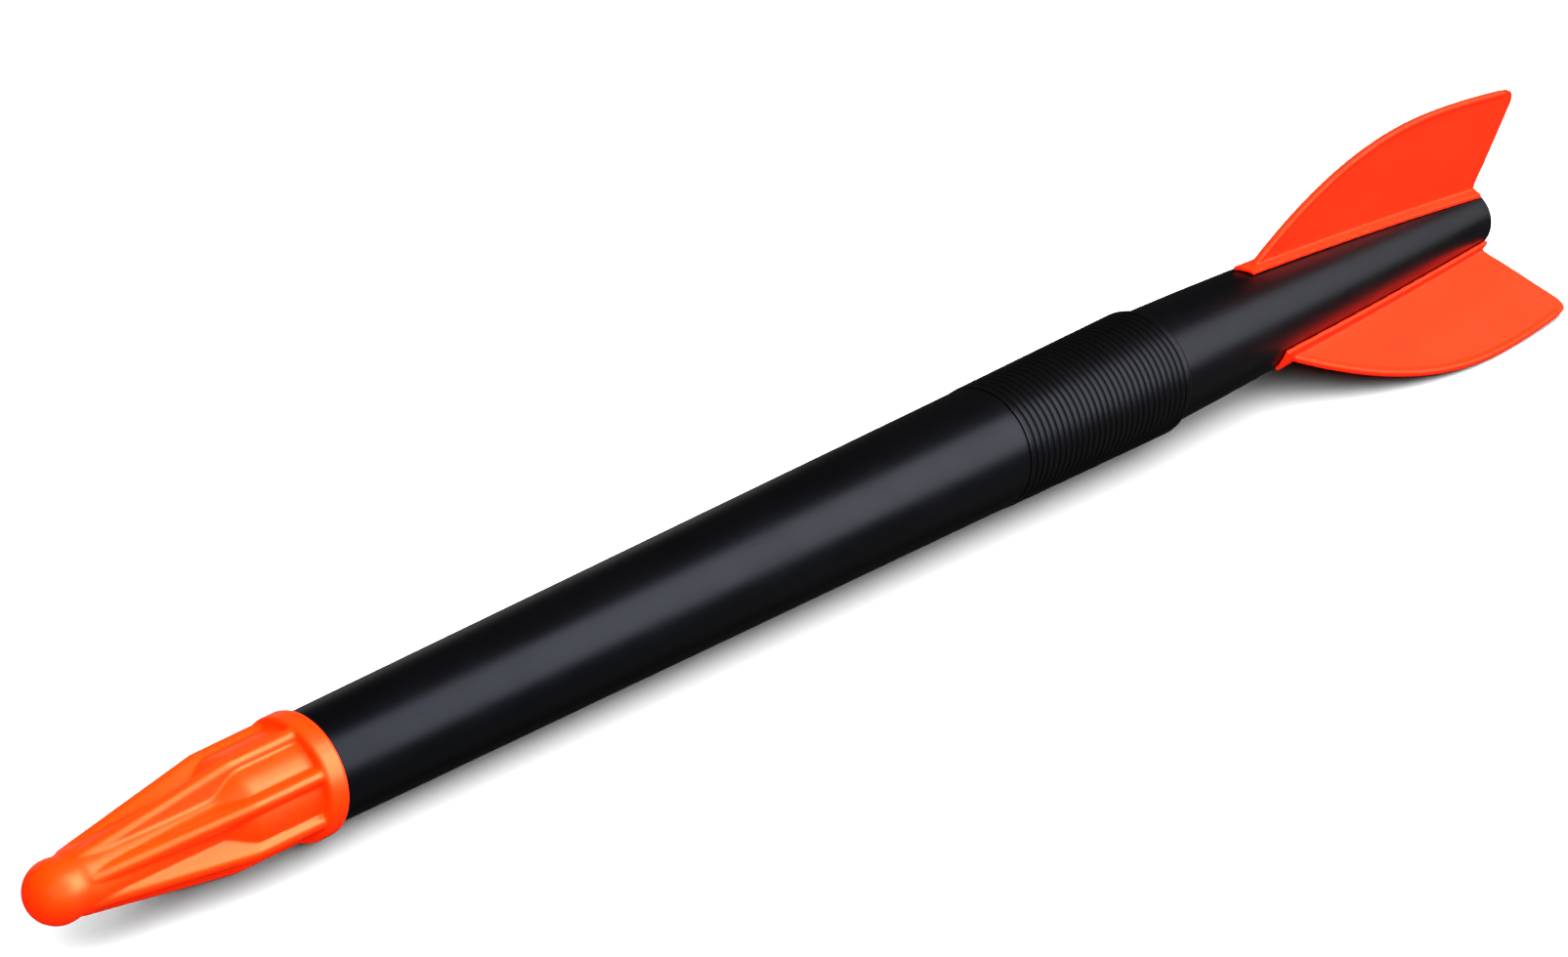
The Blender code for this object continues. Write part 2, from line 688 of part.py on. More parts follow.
def make_fins(material, parts, cutters, parent):
    """Three fins of one shape, at a third of a turn from each other."""
    plate = draw_plate(cutters)
    boolean(plate, "UNION", draw_foot(cutters))
    boolean(plate, "UNION", draw_rim(cutters))
    mesh = evaluated_mesh(plate)
    mesh.name = "fin"
    weld(mesh)
    mesh.set_sharp_from_angle(angle=math.radians(SHARP_ANGLE))
    for name, roll in FIN_ROLLS.items():
        fin = add_piece(name, mesh, material, parts, parent)
        fin.rotation_euler = (0.0, 0.0, math.radians(roll))


def lowest_point(piece):
    graph = bpy.context.evaluated_depsgraph_get()
    evaluated = piece.evaluated_get(graph)
    mesh = evaluated.to_mesh()
    low = min((evaluated.matrix_world @ vertex.co for vertex in mesh.vertices), key=lambda place: place.z)
    evaluated.to_mesh_clear()
    return low


def bounds(pieces):
    """Lowest and highest corner of the pieces in world space."""
    graph = bpy.context.evaluated_depsgraph_get()
    low = Vector((math.inf, math.inf, math.inf))
    high = -low
    for piece in pieces:
        evaluated = piece.evaluated_get(graph)
        mesh = evaluated.to_mesh()
        for vertex in mesh.vertices:
            place = evaluated.matrix_world @ vertex.co
            low = Vector(map(min, low, place))
            high = Vector(map(max, high, place))
        evaluated.to_mesh_clear()
    return low, high


def lay_on_ground(carrier, parts):
    """Lays the javelin along X, nose towards +X, on its collar and its two lower fins, about the origin.

    Each round turns the empty by what the three touching points still differ in height.
    """
    carrier.rotation_mode = "ZYX"
    carrier.rotation_euler = (0.0, math.pi / 2, 0.0)
    for _ in range(SETTLE_ROUNDS):
        bpy.context.view_layer.update()
        front = lowest_point(parts.objects["nose_cap"])
        left = lowest_point(parts.objects["fin_left"])
        right = lowest_point(parts.objects["fin_right"])
        middle = (left + right) / 2
        carrier.rotation_euler.y += math.atan2(front.z - middle.z, front.x - middle.x)
        carrier.rotation_euler.z -= math.atan2(left.z - right.z, left.y - right.y)
    bpy.context.view_layer.update()
    low, high = bounds(parts.objects)
    carrier.location = (-(low.x + high.x) / 2, -(low.y + high.y) / 2, -low.z)


def main():
    remove_scene_objects()
    parts = new_collection("training_javelin")
    cutters = new_collection("cutters")
    carrier = bpy.data.objects.new("javelin_axis", None)
    bpy.context.scene.collection.objects.link(carrier)

    soft_orange = plastic("soft_orange", (0.86, 0.055, 0.006), 0.42)
    fin_orange = plastic("fin_orange", (0.90, 0.060, 0.012), 0.38)
    satin_black = plastic("satin_black", (0.010, 0.010, 0.013), 0.38)
    grip_black = plastic("grip_black", (0.012, 0.012, 0.014), 0.50)

    make_nose_cap(soft_orange, parts, cutters, carrier)
    make_nose_plug(satin_black, parts, carrier)
    make_front_barrel(satin_black, parts, carrier)
    make_grip_sleeve(grip_black, parts, carrier)
    make_tail_tube(satin_black, parts, cutters, carrier)
    make_tail_plug(satin_black, parts, carrier)
    make_fins(fin_orange, parts, cutters, carrier)
    lay_on_ground(carrier, parts)


if __name__ == "__main__":
    main()
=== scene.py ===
"""Builds the looks of a children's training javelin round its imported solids.

The file is laid out as an add-on. Its panel lists the pieces, and each button models one of them at the
sizes that the panel holds. A turned piece is drawn as half of its section and spun about local Z, with the
nose upwards. A fin is drawn flat. Each finished piece is then laid along the ground, where it stands for
the solid in its place.
"""

import json
import math

import bmesh
import bpy
from bpy.props import FloatProperty, FloatVectorProperty, IntProperty, PointerProperty
from bpy.types import Operator, Panel, PropertyGroup
from mathutils import Matrix, Vector


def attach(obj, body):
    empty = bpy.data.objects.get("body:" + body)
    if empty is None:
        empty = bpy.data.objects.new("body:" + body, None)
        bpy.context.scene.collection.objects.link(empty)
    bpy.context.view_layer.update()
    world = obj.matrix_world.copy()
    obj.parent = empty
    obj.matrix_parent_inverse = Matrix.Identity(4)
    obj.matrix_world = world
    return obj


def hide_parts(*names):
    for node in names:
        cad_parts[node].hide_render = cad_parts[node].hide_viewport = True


bl_info = {
    "name": "Training Javelin",
    "version": (1, 0, 0),
    "blender": (4, 5, 0),
    "location": "3D View > Sidebar > Javelin",
    "description": "Models a children's training javelin with a soft nose, a grooved grip and three fins",
    "category": "Add Mesh",
}

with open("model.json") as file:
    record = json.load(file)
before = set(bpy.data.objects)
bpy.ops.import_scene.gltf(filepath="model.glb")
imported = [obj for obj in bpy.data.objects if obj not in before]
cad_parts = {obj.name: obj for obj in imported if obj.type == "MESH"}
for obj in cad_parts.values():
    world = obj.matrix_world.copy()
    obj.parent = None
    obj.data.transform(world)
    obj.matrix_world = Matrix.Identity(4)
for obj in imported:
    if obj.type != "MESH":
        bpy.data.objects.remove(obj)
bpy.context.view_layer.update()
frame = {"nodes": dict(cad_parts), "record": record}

# Where the javelin lies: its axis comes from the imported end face, its turn about that axis from the fins
END_FACE = frame["record"]["mounts"][0]
TAIL_STATION = 0.6860
AXIS_ROLL = 0.9889

# Fins, each turned about the axis by its angle in degrees
FIN_ROLLS = {"fin_top": 180.0, "fin_left": 60.0, "fin_right": -60.0}

# Fineness, in steps round or along a form
TURN_STEPS = 168
CAP_TURN_STEPS = 210
SOCKET_TURN_STEPS = 84
BALL_STEPS = 18
RAMP_STEPS = 12
COLLAR_STEPS = 6
CREST_STEPS = 4
SHOULDER_STEPS = 14
RIM_FRONT_STEPS = 36
RIM_REAR_STEPS = 16

# Joins, rings and hidden fits, in metres
MERGE = 0.000005
EDGE_RING = 0.0010
RING_SPACING = 0.012
TAPER_SPACING = 0.008
BORE_SPACING = 0.020
FIT_GAP = 0.0003
STOP_STEP = 0.0005
STRAIGHT_BORE = 0.0300

# Soft skins, each with its fineness in metres and its rounds of smoothing
CAP_SKIN = (0.00036, 8)
FIN_SKIN = (0.00042, 3)

# Rounding of edges in metres, and the angle in degrees under which a surface is shaded smooth
BARREL_ROUNDING = 0.0003
TAIL_ROUNDING = 0.00025
PLUG_ROUNDING = 0.0004
PLATE_ROUNDING = 0.0003
SMOOTH_ANGLE = 40.0

# A groove's section: the worn lip on each side, and the round floor, whose share of the width is flat
LIP_WIDTH = 0.00022
LIP_DROP = 0.00008
FLOOR_RISE = 0.00012
FLOOR_SHARE = 0.45

# The tail plug's head: how far it stands inside the rim, and the rings on its flat face
HEAD_INSET = 0.0002
HEAD_RINGS = (0.0030, 0.0062)

# The plastic of each slot: grain and relief in metres, the rest as the shader and its effects take them
PLASTICS = {
    "soft_orange": {
        "name": "Soft orange PVC", "roughness": 0.36, "drift": 0.08, "grain": 0.0009, "relief": 0.000012,
        "scuffs": 0.05, "polish": 0.05, "specular": 1.0, "tint": (1.0, 1.0, 0.4, 1.0),
    },
    "fin_orange": {
        "name": "Fin orange plastic", "roughness": 0.40, "drift": 0.06, "grain": 0.0008, "relief": 0.000008,
        "scuffs": 0.04, "polish": 0.05, "specular": 0.2, "tint": (1.0, 1.0, 0.6, 1.0),
    },
    "satin_black": {
        "name": "Satin black plastic", "roughness": 0.34, "drift": 0.05, "grain": 0.0007, "relief": 0.000006,
        "scuffs": 0.05, "polish": 0.02, "specular": 0.165, "tint": (0.72, 0.77, 1.0, 1.0),
    },
    "grip_black": {
        "name": "Grip black plastic", "roughness": 0.38, "drift": 0.06, "grain": 0.0006, "relief": 0.000008,
        "scuffs": 0.05, "polish": 0.03, "specular": 0.165, "tint": (0.74, 0.78, 1.0, 1.0),
    },
}

# Softboxes: turn in degrees, distance, front and back station, width, and whether the gloss sees them
SOFTBOXES = {
    "top": (28.0, 1.2, -1.75, 2.45, 1.3, False),
    "key": (49.0, 1.1, 0.65, 1.6, 1.35, True),
    "tail": (48.0, 1.1, 1.6, 2.85, 1.35, True),
    "cone": (49.0, 1.1, 0.05, 0.65, 1.35, True),
    "nose": (50.0, 1.1, -1.35, 0.05, 1.3, True),
    "rim": (-92.0, 0.6, 0.1, 0.85, 0.3, True),
    "low": (128.0, 0.9, 0.05, 2.4, 0.8, True),
    "floor": (0.0, 1.2, -1.75, 2.45, 4.2, False),
    "bounce": (180.0, 0.6, -1.75, 2.45, 4.2, False),
}

# The camera's place and its right and back directions, in the axes of the javelin before it is laid down
CAMERA_PLACE = (-0.4988, 0.5840, 0.4308)
CAMERA_RIGHT = (-0.0715, 0.7486, -0.6593)
CAMERA_BACK = (-0.4581, 0.5626, 0.6883)


def lying_axis():
    """Matrix that lays the straight javelin, tip at the origin and nose along +Z, on the ground."""
    forwards = -Vector(END_FACE["axis"]).normalized()
    sideways = Vector((0.0, 1.0, 0.0))
    across = sideways.cross(forwards)
    turned = Matrix((across, sideways, forwards)).transposed()
    turned = turned @ Matrix.Rotation(math.radians(AXIS_ROLL), 3, "Z")
    tip = Vector(END_FACE["pos_m"]) + forwards * TAIL_STATION
    return Matrix.Translation(tip) @ turned.to_4x4()


AXIS = lying_axis()


def size(default, description):
    return FloatProperty(description=description, default=default, min=0.0, unit="LENGTH", precision=4)


def light_level(default, description):
    return FloatProperty(description=description, default=default, min=0.0)


def colour(default, description):
    return FloatVectorProperty(
        description=description, default=default, min=0.0, max=1.0, size=3, subtype="COLOR"
    )


def labelled(group):
    """Labels each setting of a group with the words of its own name."""
    for name, setting in group.__annotations__.items():
        setting.keywords["name"] = name.replace("_", " ").capitalize()
    return group


@labelled
class NoseSizes(PropertyGroup):
    """Sizes of the soft nose cap. A station is a distance back from the tip."""

    ball_radius: size(0.0088, "Radius of the ball at the tip")
    neck_station: size(0.0124, "Where the neck behind the ball is thinnest")
    neck_radius: size(0.0085, "Radius of the neck behind the ball")
    throat_station: size(0.0145, "Where the valleys between the ribs begin")
    throat_radius: size(0.0090, "Radius at the throat")
    cone_station: size(0.0200, "Where the cone between the ribs begins")
    cone_radius: size(0.0091, "Radius between the ribs where the cone begins")
    knee_station: size(0.0535, "Where the cone bends to its ramp")
    knee_radius: size(0.0106, "Radius between the ribs at the knee")
    ramp_station: size(0.0645, "Where the ramp ends")
    ramp_radius: size(0.0149, "Radius between the ribs where the ramp ends")
    pocket_radius: size(0.0151, "Radius between the ribs at the collar")
    collar_radius: size(0.0182, "Radius of the collar band")
    collar_width: size(0.0070, "Width of the collar band")
    collar_rounding: size(0.0012, "Rounding of the collar's edges")
    length: size(0.0916, "Length of the whole cap")
    rib_count: IntProperty(description="Number of ribs", default=7, min=3, max=12)
    rib_roll: FloatProperty(description="Turn of the first rib, in degrees", default=18.6)
    rib_start: size(0.0140, "Station where the ribs rise from the throat")
    rib_start_height: size(0.0092, "Height of the crest where the rib starts")
    rib_start_width: size(0.0031, "Width of the crest where the rib starts")
    rib_full: size(0.0260, "Station from which the crest keeps its width")
    rib_width: size(0.0032, "Full width of the crest")
    rib_knee: size(0.0620, "Station where the crest bends level")
    rib_knee_height: size(0.0173, "Height of the crest at its knee")
    rib_end_height: size(0.0176, "Height of the crest at the collar")
    rib_depth: size(0.0065, "Depth of a rib, with what stands inside the cone")
    rib_foot: size(0.0024, "What each side of a rib gains in width over its depth")
    rib_knee_foot: size(0.0020, "The same at the knee, where the ribs stand highest")
    rib_rounding: size(0.0015, "Rounding of the crest")
    socket_radius: size(0.0126, "Radius of the hollow that holds the plug")
    socket_taper: size(0.0650, "Station where the hollow starts to narrow")
    socket_end: size(0.0530, "Station of the hollow's bottom")
    socket_end_radius: size(0.0070, "Radius of the hollow's bottom")


@labelled
class BodySizes(PropertyGroup):
    """Sizes of the barrel, the grip and the tail."""

    barrel_start: size(0.0919, "Station of the barrel's front face")
    barrel_end: size(0.3835, "Station where the barrel's skin ends at the grip")
    barrel_front_radius: size(0.01635, "Radius behind the nose cap")
    barrel_rear_radius: size(0.0208, "Radius in front of the grip")
    barrel_wall: size(0.0022, "Thickness of the barrel's wall")
    neck_radius: size(0.0190, "Radius of the neck that carries the grip")
    neck_end: size(0.4718, "Station where the neck ends")
    socket_radius: size(0.0170, "Radius of the bore that takes the tail's spigot")
    grip_start: size(0.3838, "Station where the grip begins")
    grip_length: size(0.0880, "Length of the grip")
    grip_front_radius: size(0.0211, "Radius at the front of the grip")
    grip_rear_radius: size(0.0227, "Radius at the rear of the grip")
    shoulder_length: size(0.0018, "Length of the grip's rounded rear end")
    shoulder_drop: size(0.0014, "Fall of the grip's rounded rear end")
    groove_count: IntProperty(description="Number of grooves", default=28, min=1, max=60)
    groove_first: size(0.0023, "Distance from the grip's front to its first groove")
    groove_pitch: size(0.0030, "Distance between two grooves")
    groove_width: size(0.0009, "Width of a groove")
    groove_depth: size(0.0006, "Depth of a groove")
    tail_start: size(0.4721, "Station of the tail's front face")
    tail_length: size(0.2139, "Length of the tail with its plug")
    tail_front_radius: size(0.0209, "Radius behind the grip")
    tail_rear_radius: size(0.0125, "Radius at the very end")
    tail_power: FloatProperty(description="How late the tail narrows", default=1.45, min=1.0)
    tail_wall: size(0.0022, "Thickness of the tail's wall")
    spigot_length: size(0.0404, "Length of the spigot inside the barrel")
    spigot_radius: size(0.0167, "Radius of the spigot")
    plug_thickness: size(0.0018, "Thickness of the tail plug's head")
    plug_stem: size(0.0110, "Length of the tail plug's stem")


@labelled
class FinSizes(PropertyGroup):
    """Sizes of a fin, in stations and heights above the axis."""

    cant: FloatProperty(description="Turn of the fin about its foot, in degrees", default=1.9)
    thickness: size(0.0020, "Thickness of the plate")
    crest_station: size(0.6430, "Where the fin is highest")
    crest_height: size(0.0543, "Height of the fin above the axis")
    corner_station: size(0.7026, "Station of the rear corner")
    corner_height: size(0.0507, "Height of the rear corner")
    corner_rounding: size(0.0070, "Rounding of the rear corner")
    waist_station: size(0.6878, "Station of the narrowest part behind")
    waist_height: size(0.0230, "Height of the narrowest part behind")
    root_setback: size(0.0045, "Distance from the foot's front to the plate")
    root_sink: size(0.0007, "How deep the plate stands in its foot")
    rim_radius: size(0.0015, "Radius of the bead along the curved edge")
    rim_stand: size(0.00036, "How far the bead stands proud of the edge")
    foot_start: size(0.5340, "Station of the foot's front end")
    foot_end: size(0.6840, "Station of the foot's rear end")
    foot_width: size(0.0088, "Width of the foot")
    foot_thickness: size(0.0014, "Thickness of the foot")
    foot_gap: size(0.0003, "Gap under the foot")
    tab_length: size(0.0240, "Length of each tab through the tail's wall")
    tab_front: size(0.0160, "Distance from the foot's front to the front tab")
    tab_back: size(0.0150, "Distance from the foot's rear to the rear tab")
    tab_depth: size(0.0016, "How far a tab reaches inside the tail")


@labelled
class Colours(PropertyGroup):
    """Colours of the four plastics, each with the deeper one that it drifts to."""

    soft_orange: colour((0.98, 0.0200, 0.0004), "Soft plastic of the nose cap")
    soft_orange_deep: colour((0.96, 0.0165, 0.0003), "Deeper drift in the nose cap")
    fin_orange: colour((0.82, 0.0125, 0.0018), "Stiff plastic of the fins")
    fin_orange_deep: colour((0.80, 0.0108, 0.0015), "Deeper drift in the fins")
    satin_black: colour((0.0006, 0.0006, 0.0007), "Barrel and tail")
    satin_black_deep: colour((0.00042, 0.00042, 0.00049), "Deeper drift in both")
    grip_black: colour((0.0006, 0.0006, 0.0006), "Grip")
    grip_black_deep: colour((0.00042, 0.00042, 0.00042), "Deeper drift in the grip")


@labelled
class Stage(PropertyGroup):
    """Levels of the softboxes, each under the softbox's name, and the floor, the surround and the lens."""

    top: light_level(14.5, "Soft light from above, which the gloss doesn't see")
    key: light_level(6.3, "Long strip that the barrel and the grip reflect")
    tail: light_level(2.9, "Dimmer end of the key, behind the grip")
    cone: light_level(2.7, "Dimmer end of the key, beside the nose")
    nose: light_level(1.0, "Far end of the key, in front of the nose")
    rim: light_level(0.33, "Low strip behind the javelin")
    low: light_level(0.12, "Low strip in front of the javelin")
    floor: light_level(130.0, "Light on the floor alone")
    bounce: light_level(1.0, "Light from below, as a pale floor gives it")
    paper: light_level(0.02, "How much of its light the floor gives back")
    dark_side: light_level(0.03, "What the gloss sees round the javelin")
    lens: FloatProperty(description="Focal length on a 36 mm sensor", default=78.505, min=10.0)


# Drawing helpers


def object_mode():
    if bpy.context.mode != "OBJECT":
        bpy.ops.object.mode_set(mode="OBJECT")


def deselect():
    object_mode()
    bpy.ops.object.select_all(action="DESELECT")


def newest():
    """The object that the last operator made."""
    return bpy.context.view_layer.objects.active


def pick(*pieces):
    """Selects these pieces alone, the first one active."""
    deselect()
    for piece in pieces:
        piece.select_set(True)
    bpy.context.view_layer.objects.active = pieces[0]


def join(pieces, name):
    pick(*pieces)
    bpy.ops.object.join()
    joined = newest()
    joined.name = name
    return joined


def apply_modifier(piece, label, kind, **settings):
    pick(piece)
    modifier = piece.modifiers.new(label, kind)
    for name, value in settings.items():
        setattr(modifier, name, value)
    bpy.ops.object.modifier_apply(modifier=modifier.name)


def cut(piece, cutter, operation="DIFFERENCE"):
    """Cuts the piece with a shape, or keeps what both share, and removes the shape."""
    apply_modifier(piece, operation.title(), "BOOLEAN", operation=operation, solver="EXACT", object=cutter)
    bpy.data.objects.remove(cutter)


def mend():
    """Merges the doubles of the piece in edit mode and turns its faces outwards."""
    bpy.ops.mesh.select_all(action="SELECT")
    bpy.ops.mesh.remove_doubles(threshold=MERGE)
    bpy.ops.mesh.normals_make_consistent(inside=False)


def copies(piece, count):
    """The piece and its copies, each with its own mesh."""
    made = [piece]
    for _ in range(count - 1):
        pick(piece)
        bpy.ops.object.duplicate(linked=False)
        made.append(newest())
    return made


def draw_line(name, points):
    """A chain of edges through the points, extruded one after the other from a plane shrunk to a point."""
    deselect()
    bpy.ops.mesh.primitive_plane_add(size=0.01, location=(0.0, 0.0, 0.0))
    line = newest()
    line.name = name
    bpy.ops.object.mode_set(mode="EDIT")
    bpy.ops.mesh.select_all(action="SELECT")
    bpy.ops.mesh.merge(type="CENTER")
    bpy.ops.transform.translate(value=points[0])
    for before, after in zip(points, points[1:]):
        step = Vector(after) - Vector(before)
        bpy.ops.mesh.extrude_region_move(TRANSFORM_OT_translate={"value": step})
    return line


def spin(name, outline, steps, closed=False, about_x=False):
    """Turns a half section of (station, radius) points about local Z, nose upwards, or about local X."""
    if about_x:
        axis = (1.0, 0.0, 0.0)
        points = [(station, radius, 0.0) for station, radius in outline]
    else:
        axis = (0.0, 0.0, 1.0)
        points = [(radius, 0.0, -station) for station, radius in outline]
    if closed:
        points.append(points[0])
    piece = draw_line(name, points)
    bpy.ops.mesh.select_all(action="SELECT")
    bpy.ops.mesh.remove_doubles(threshold=MERGE)
    bpy.ops.mesh.spin(steps=steps, angle=math.tau, center=(0.0, 0.0, 0.0), axis=axis)
    mend()
    object_mode()
    return piece


def block(centre, lengths):
    """A box used as a cutter."""
    deselect()
    bpy.ops.mesh.primitive_cube_add(size=1.0, location=centre, scale=lengths)
    bpy.ops.object.transform_apply()
    return newest()


def arc(station, radius, length, height, start, end, steps):
    """Points of an elliptical arc, angles in degrees from the direction of the tip."""
    points = []
    for i in range(steps + 1):
        angle = math.radians(start + (end - start) * i / steps)
        points.append((station - length * math.cos(angle), radius + height * math.sin(angle)))
    return points


def along(start, end, station):
    """The value at a station on the straight line between two (station, value) points."""
    share = (station - start[0]) / (end[0] - start[0])
    return start[1] + (end[1] - start[1]) * share


def stations(first, last, spacing=RING_SPACING):
    """Stations from first to last, with one ring close to each end so that the shading stays there."""
    count = max(1, round((last - first) / spacing))
    inner = [first + (last - first) * i / count for i in range(1, count)]
    return [first, first + EDGE_RING, *inner, last - EDGE_RING, last]


def soften(piece, voxel, rounds):
    """Fuses what was joined into one skin with small soft fillets, as a mould gives it."""
    apply_modifier(piece, "One skin", "REMESH", mode="VOXEL", voxel_size=voxel, adaptivity=0.0)
    apply_modifier(piece, "Soft fillets", "SMOOTH", factor=0.5, iterations=rounds)


def round_edges(piece, width):
    apply_modifier(
        piece, "Rounded edges", "BEVEL", width=width, segments=3, limit_method="ANGLE",
        angle_limit=math.radians(28.0), use_clamp_overlap=True,
    )


def finish(piece, place, node, slot):
    """Lays the piece in its place with its finish, and lets it stand for the solid."""
    pick(piece)
    piece.matrix_world = place
    bpy.ops.object.transform_apply()
    bpy.ops.object.shade_smooth_by_angle(angle=math.radians(SMOOTH_ANGLE))
    piece.data.materials.clear()
    piece.data.materials.append(plastic(slot))
    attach(piece, "root")
    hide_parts(node)


# Materials


def new_group(name, inputs, outputs):
    """An empty shader group with named sockets, as (name, kind, default) for each input."""
    group = bpy.data.node_groups.new(name, "ShaderNodeTree")
    for label, kind, default in inputs:
        socket = group.interface.new_socket(name=label, in_out="INPUT", socket_type="NodeSocket" + kind)
        socket.default_value = default
    for label, kind in outputs:
        group.interface.new_socket(name=label, in_out="OUTPUT", socket_type="NodeSocket" + kind)
    return group, group.nodes.new("NodeGroupInput"), group.nodes.new("NodeGroupOutput")


def feed(tree, value, socket):
    """Sets the socket to a number, or links it to the socket that the value comes from."""
    if isinstance(value, (int, float)):
        socket.default_value = value
    else:
        tree.links.new(value, socket)


def math_node(tree, operation, first, second):
    """A Math node on two values, each a number or a socket."""
    node = tree.nodes.new("ShaderNodeMath")
    node.operation = operation
    feed(tree, first, node.inputs[0])
    feed(tree, second, node.inputs[1])
    return node.outputs[0]


def noise(tree, vector, scale, detail=2.0, roughness=0.5):
    """A noise texture whose scale is a number or a socket."""
    node = tree.nodes.new("ShaderNodeTexNoise")
    tree.links.new(vector, node.inputs["Vector"])
    feed(tree, scale, node.inputs["Scale"])
    node.inputs["Detail"].default_value = detail
    node.inputs["Roughness"].default_value = roughness
    return node.outputs["Fac"]


def spread(tree, value, low, high, to_low, to_high):
    """A Map Range node, whose ends are numbers or sockets."""
    node = tree.nodes.new("ShaderNodeMapRange")
    tree.links.new(value, node.inputs["Value"])
    for label, limit in (("From Min", low), ("From Max", high), ("To Min", to_low), ("To Max", to_high)):
        feed(tree, limit, node.inputs[label])
    return node.outputs["Result"]


def stretched(tree, factors):
    """Object coordinates stretched along the javelin, which lies along X."""
    place = tree.nodes.new("ShaderNodeTexCoord")
    mapping = tree.nodes.new("ShaderNodeMapping")
    mapping.inputs["Scale"].default_value = factors
    tree.links.new(place.outputs["Object"], mapping.inputs["Vector"])
    return mapping.outputs["Vector"]


def skin_group():
    """Moulded skin: a fine grain over a slow orange peel, with a roughness that drifts."""
    group, enter, leave = new_group(
        "Moulded skin",
        [("Grain Size", "Float", 0.0006), ("Roughness", "Float", 0.4), ("Drift", "Float", 0.06)],
        [("Roughness", "Float"), ("Height", "Float")],
    )
    vector = stretched(group, (1.0, 1.0, 1.0))
    grain = noise(group, vector, math_node(group, "DIVIDE", 1.0, enter.outputs["Grain Size"]), 3.0, 0.6)
    peel = noise(group, vector, 260.0, 1.0)
    slow = noise(group, vector, 55.0, 2.0)
    height = math_node(group, "ADD", grain, math_node(group, "MULTIPLY", peel, 1.6))
    half = math_node(group, "MULTIPLY", enter.outputs["Drift"], 0.5)
    low = math_node(group, "SUBTRACT", enter.outputs["Roughness"], half)
    high = math_node(group, "ADD", enter.outputs["Roughness"], half)
    group.links.new(spread(group, slow, 0.3, 0.7, low, high), leave.inputs["Roughness"])
    group.links.new(height, leave.inputs["Height"])
    return group


def pigment_group():
    """Pigment drift: two close colours that flow along the javelin, as in a dyed melt."""
    group, enter, leave = new_group(
        "Pigment drift",
        [("Colour", "Color", (1, 1, 1, 1)), ("Deep Colour", "Color", (1, 1, 1, 1)), ("Amount", "Float", 1.0)],
        [("Colour", "Color")],
    )
    vector = stretched(group, (0.3, 1.0, 1.0))
    flow = spread(group, noise(group, vector, 60.0, 4.0), 0.35, 0.7, 0.0, 1.0)
    mix = group.nodes.new("ShaderNodeMix")
    mix.data_type = "RGBA"
    group.links.new(math_node(group, "MULTIPLY", flow, enter.outputs["Amount"]), mix.inputs["Factor"])
    group.links.new(enter.outputs["Colour"], mix.inputs["A"])
    group.links.new(enter.outputs["Deep Colour"], mix.inputs["B"])
    group.links.new(mix.outputs["Result"], leave.inputs["Colour"])
    return group


def scuff_group():
    """Handling scuffs: hair-fine marks in patches, along and across the javelin."""
    group, enter, leave = new_group("Handling scuffs", [("Amount", "Float", 0.5)], [("Mask", "Float")])
    along_marks = noise(group, stretched(group, (40.0, 900.0, 900.0)), 1.0, 2.0)
    across_marks = noise(group, stretched(group, (1400.0, 60.0, 60.0)), 1.0, 2.0)
    patches = spread(group, noise(group, stretched(group, (1.0, 1.0, 1.0)), 38.0, 3.0), 0.48, 0.62, 0.0, 1.0)
    marks = math_node(group, "MAXIMUM", along_marks, across_marks)
    marks = spread(group, marks, 0.60, 0.74, 0.0, 1.0)
    mask = math_node(group, "MULTIPLY", marks, patches)
    group.links.new(math_node(group, "MULTIPLY", mask, enter.outputs["Amount"]), leave.inputs["Mask"])
    return group


def edge_group():
    """Edge mask: white where the surface is strongly curved outwards."""
    group, enter, leave = new_group("Edge mask", [("Amount", "Float", 1.0)], [("Mask", "Float")])
    surface = group.nodes.new("ShaderNodeNewGeometry")
    edges = spread(group, surface.outputs["Pointiness"], 0.505, 0.56, 0.0, 1.0)
    group.links.new(math_node(group, "MULTIPLY", edges, enter.outputs["Amount"]), leave.inputs["Mask"])
    return group


def effect(name):
    """A shared effect, built when it is first asked for."""
    makers = {
        "Moulded skin": skin_group,
        "Pigment drift": pigment_group,
        "Handling scuffs": scuff_group,
        "Edge mask": edge_group,
    }
    return bpy.data.node_groups.get(name) or makers[name]()


def place_effect(tree, name, **values):
    node = tree.nodes.new("ShaderNodeGroup")
    node.node_tree = effect(name)
    node.label = name
    for label, value in values.items():
        node.inputs[label.replace("_", " ")].default_value = value
    return node


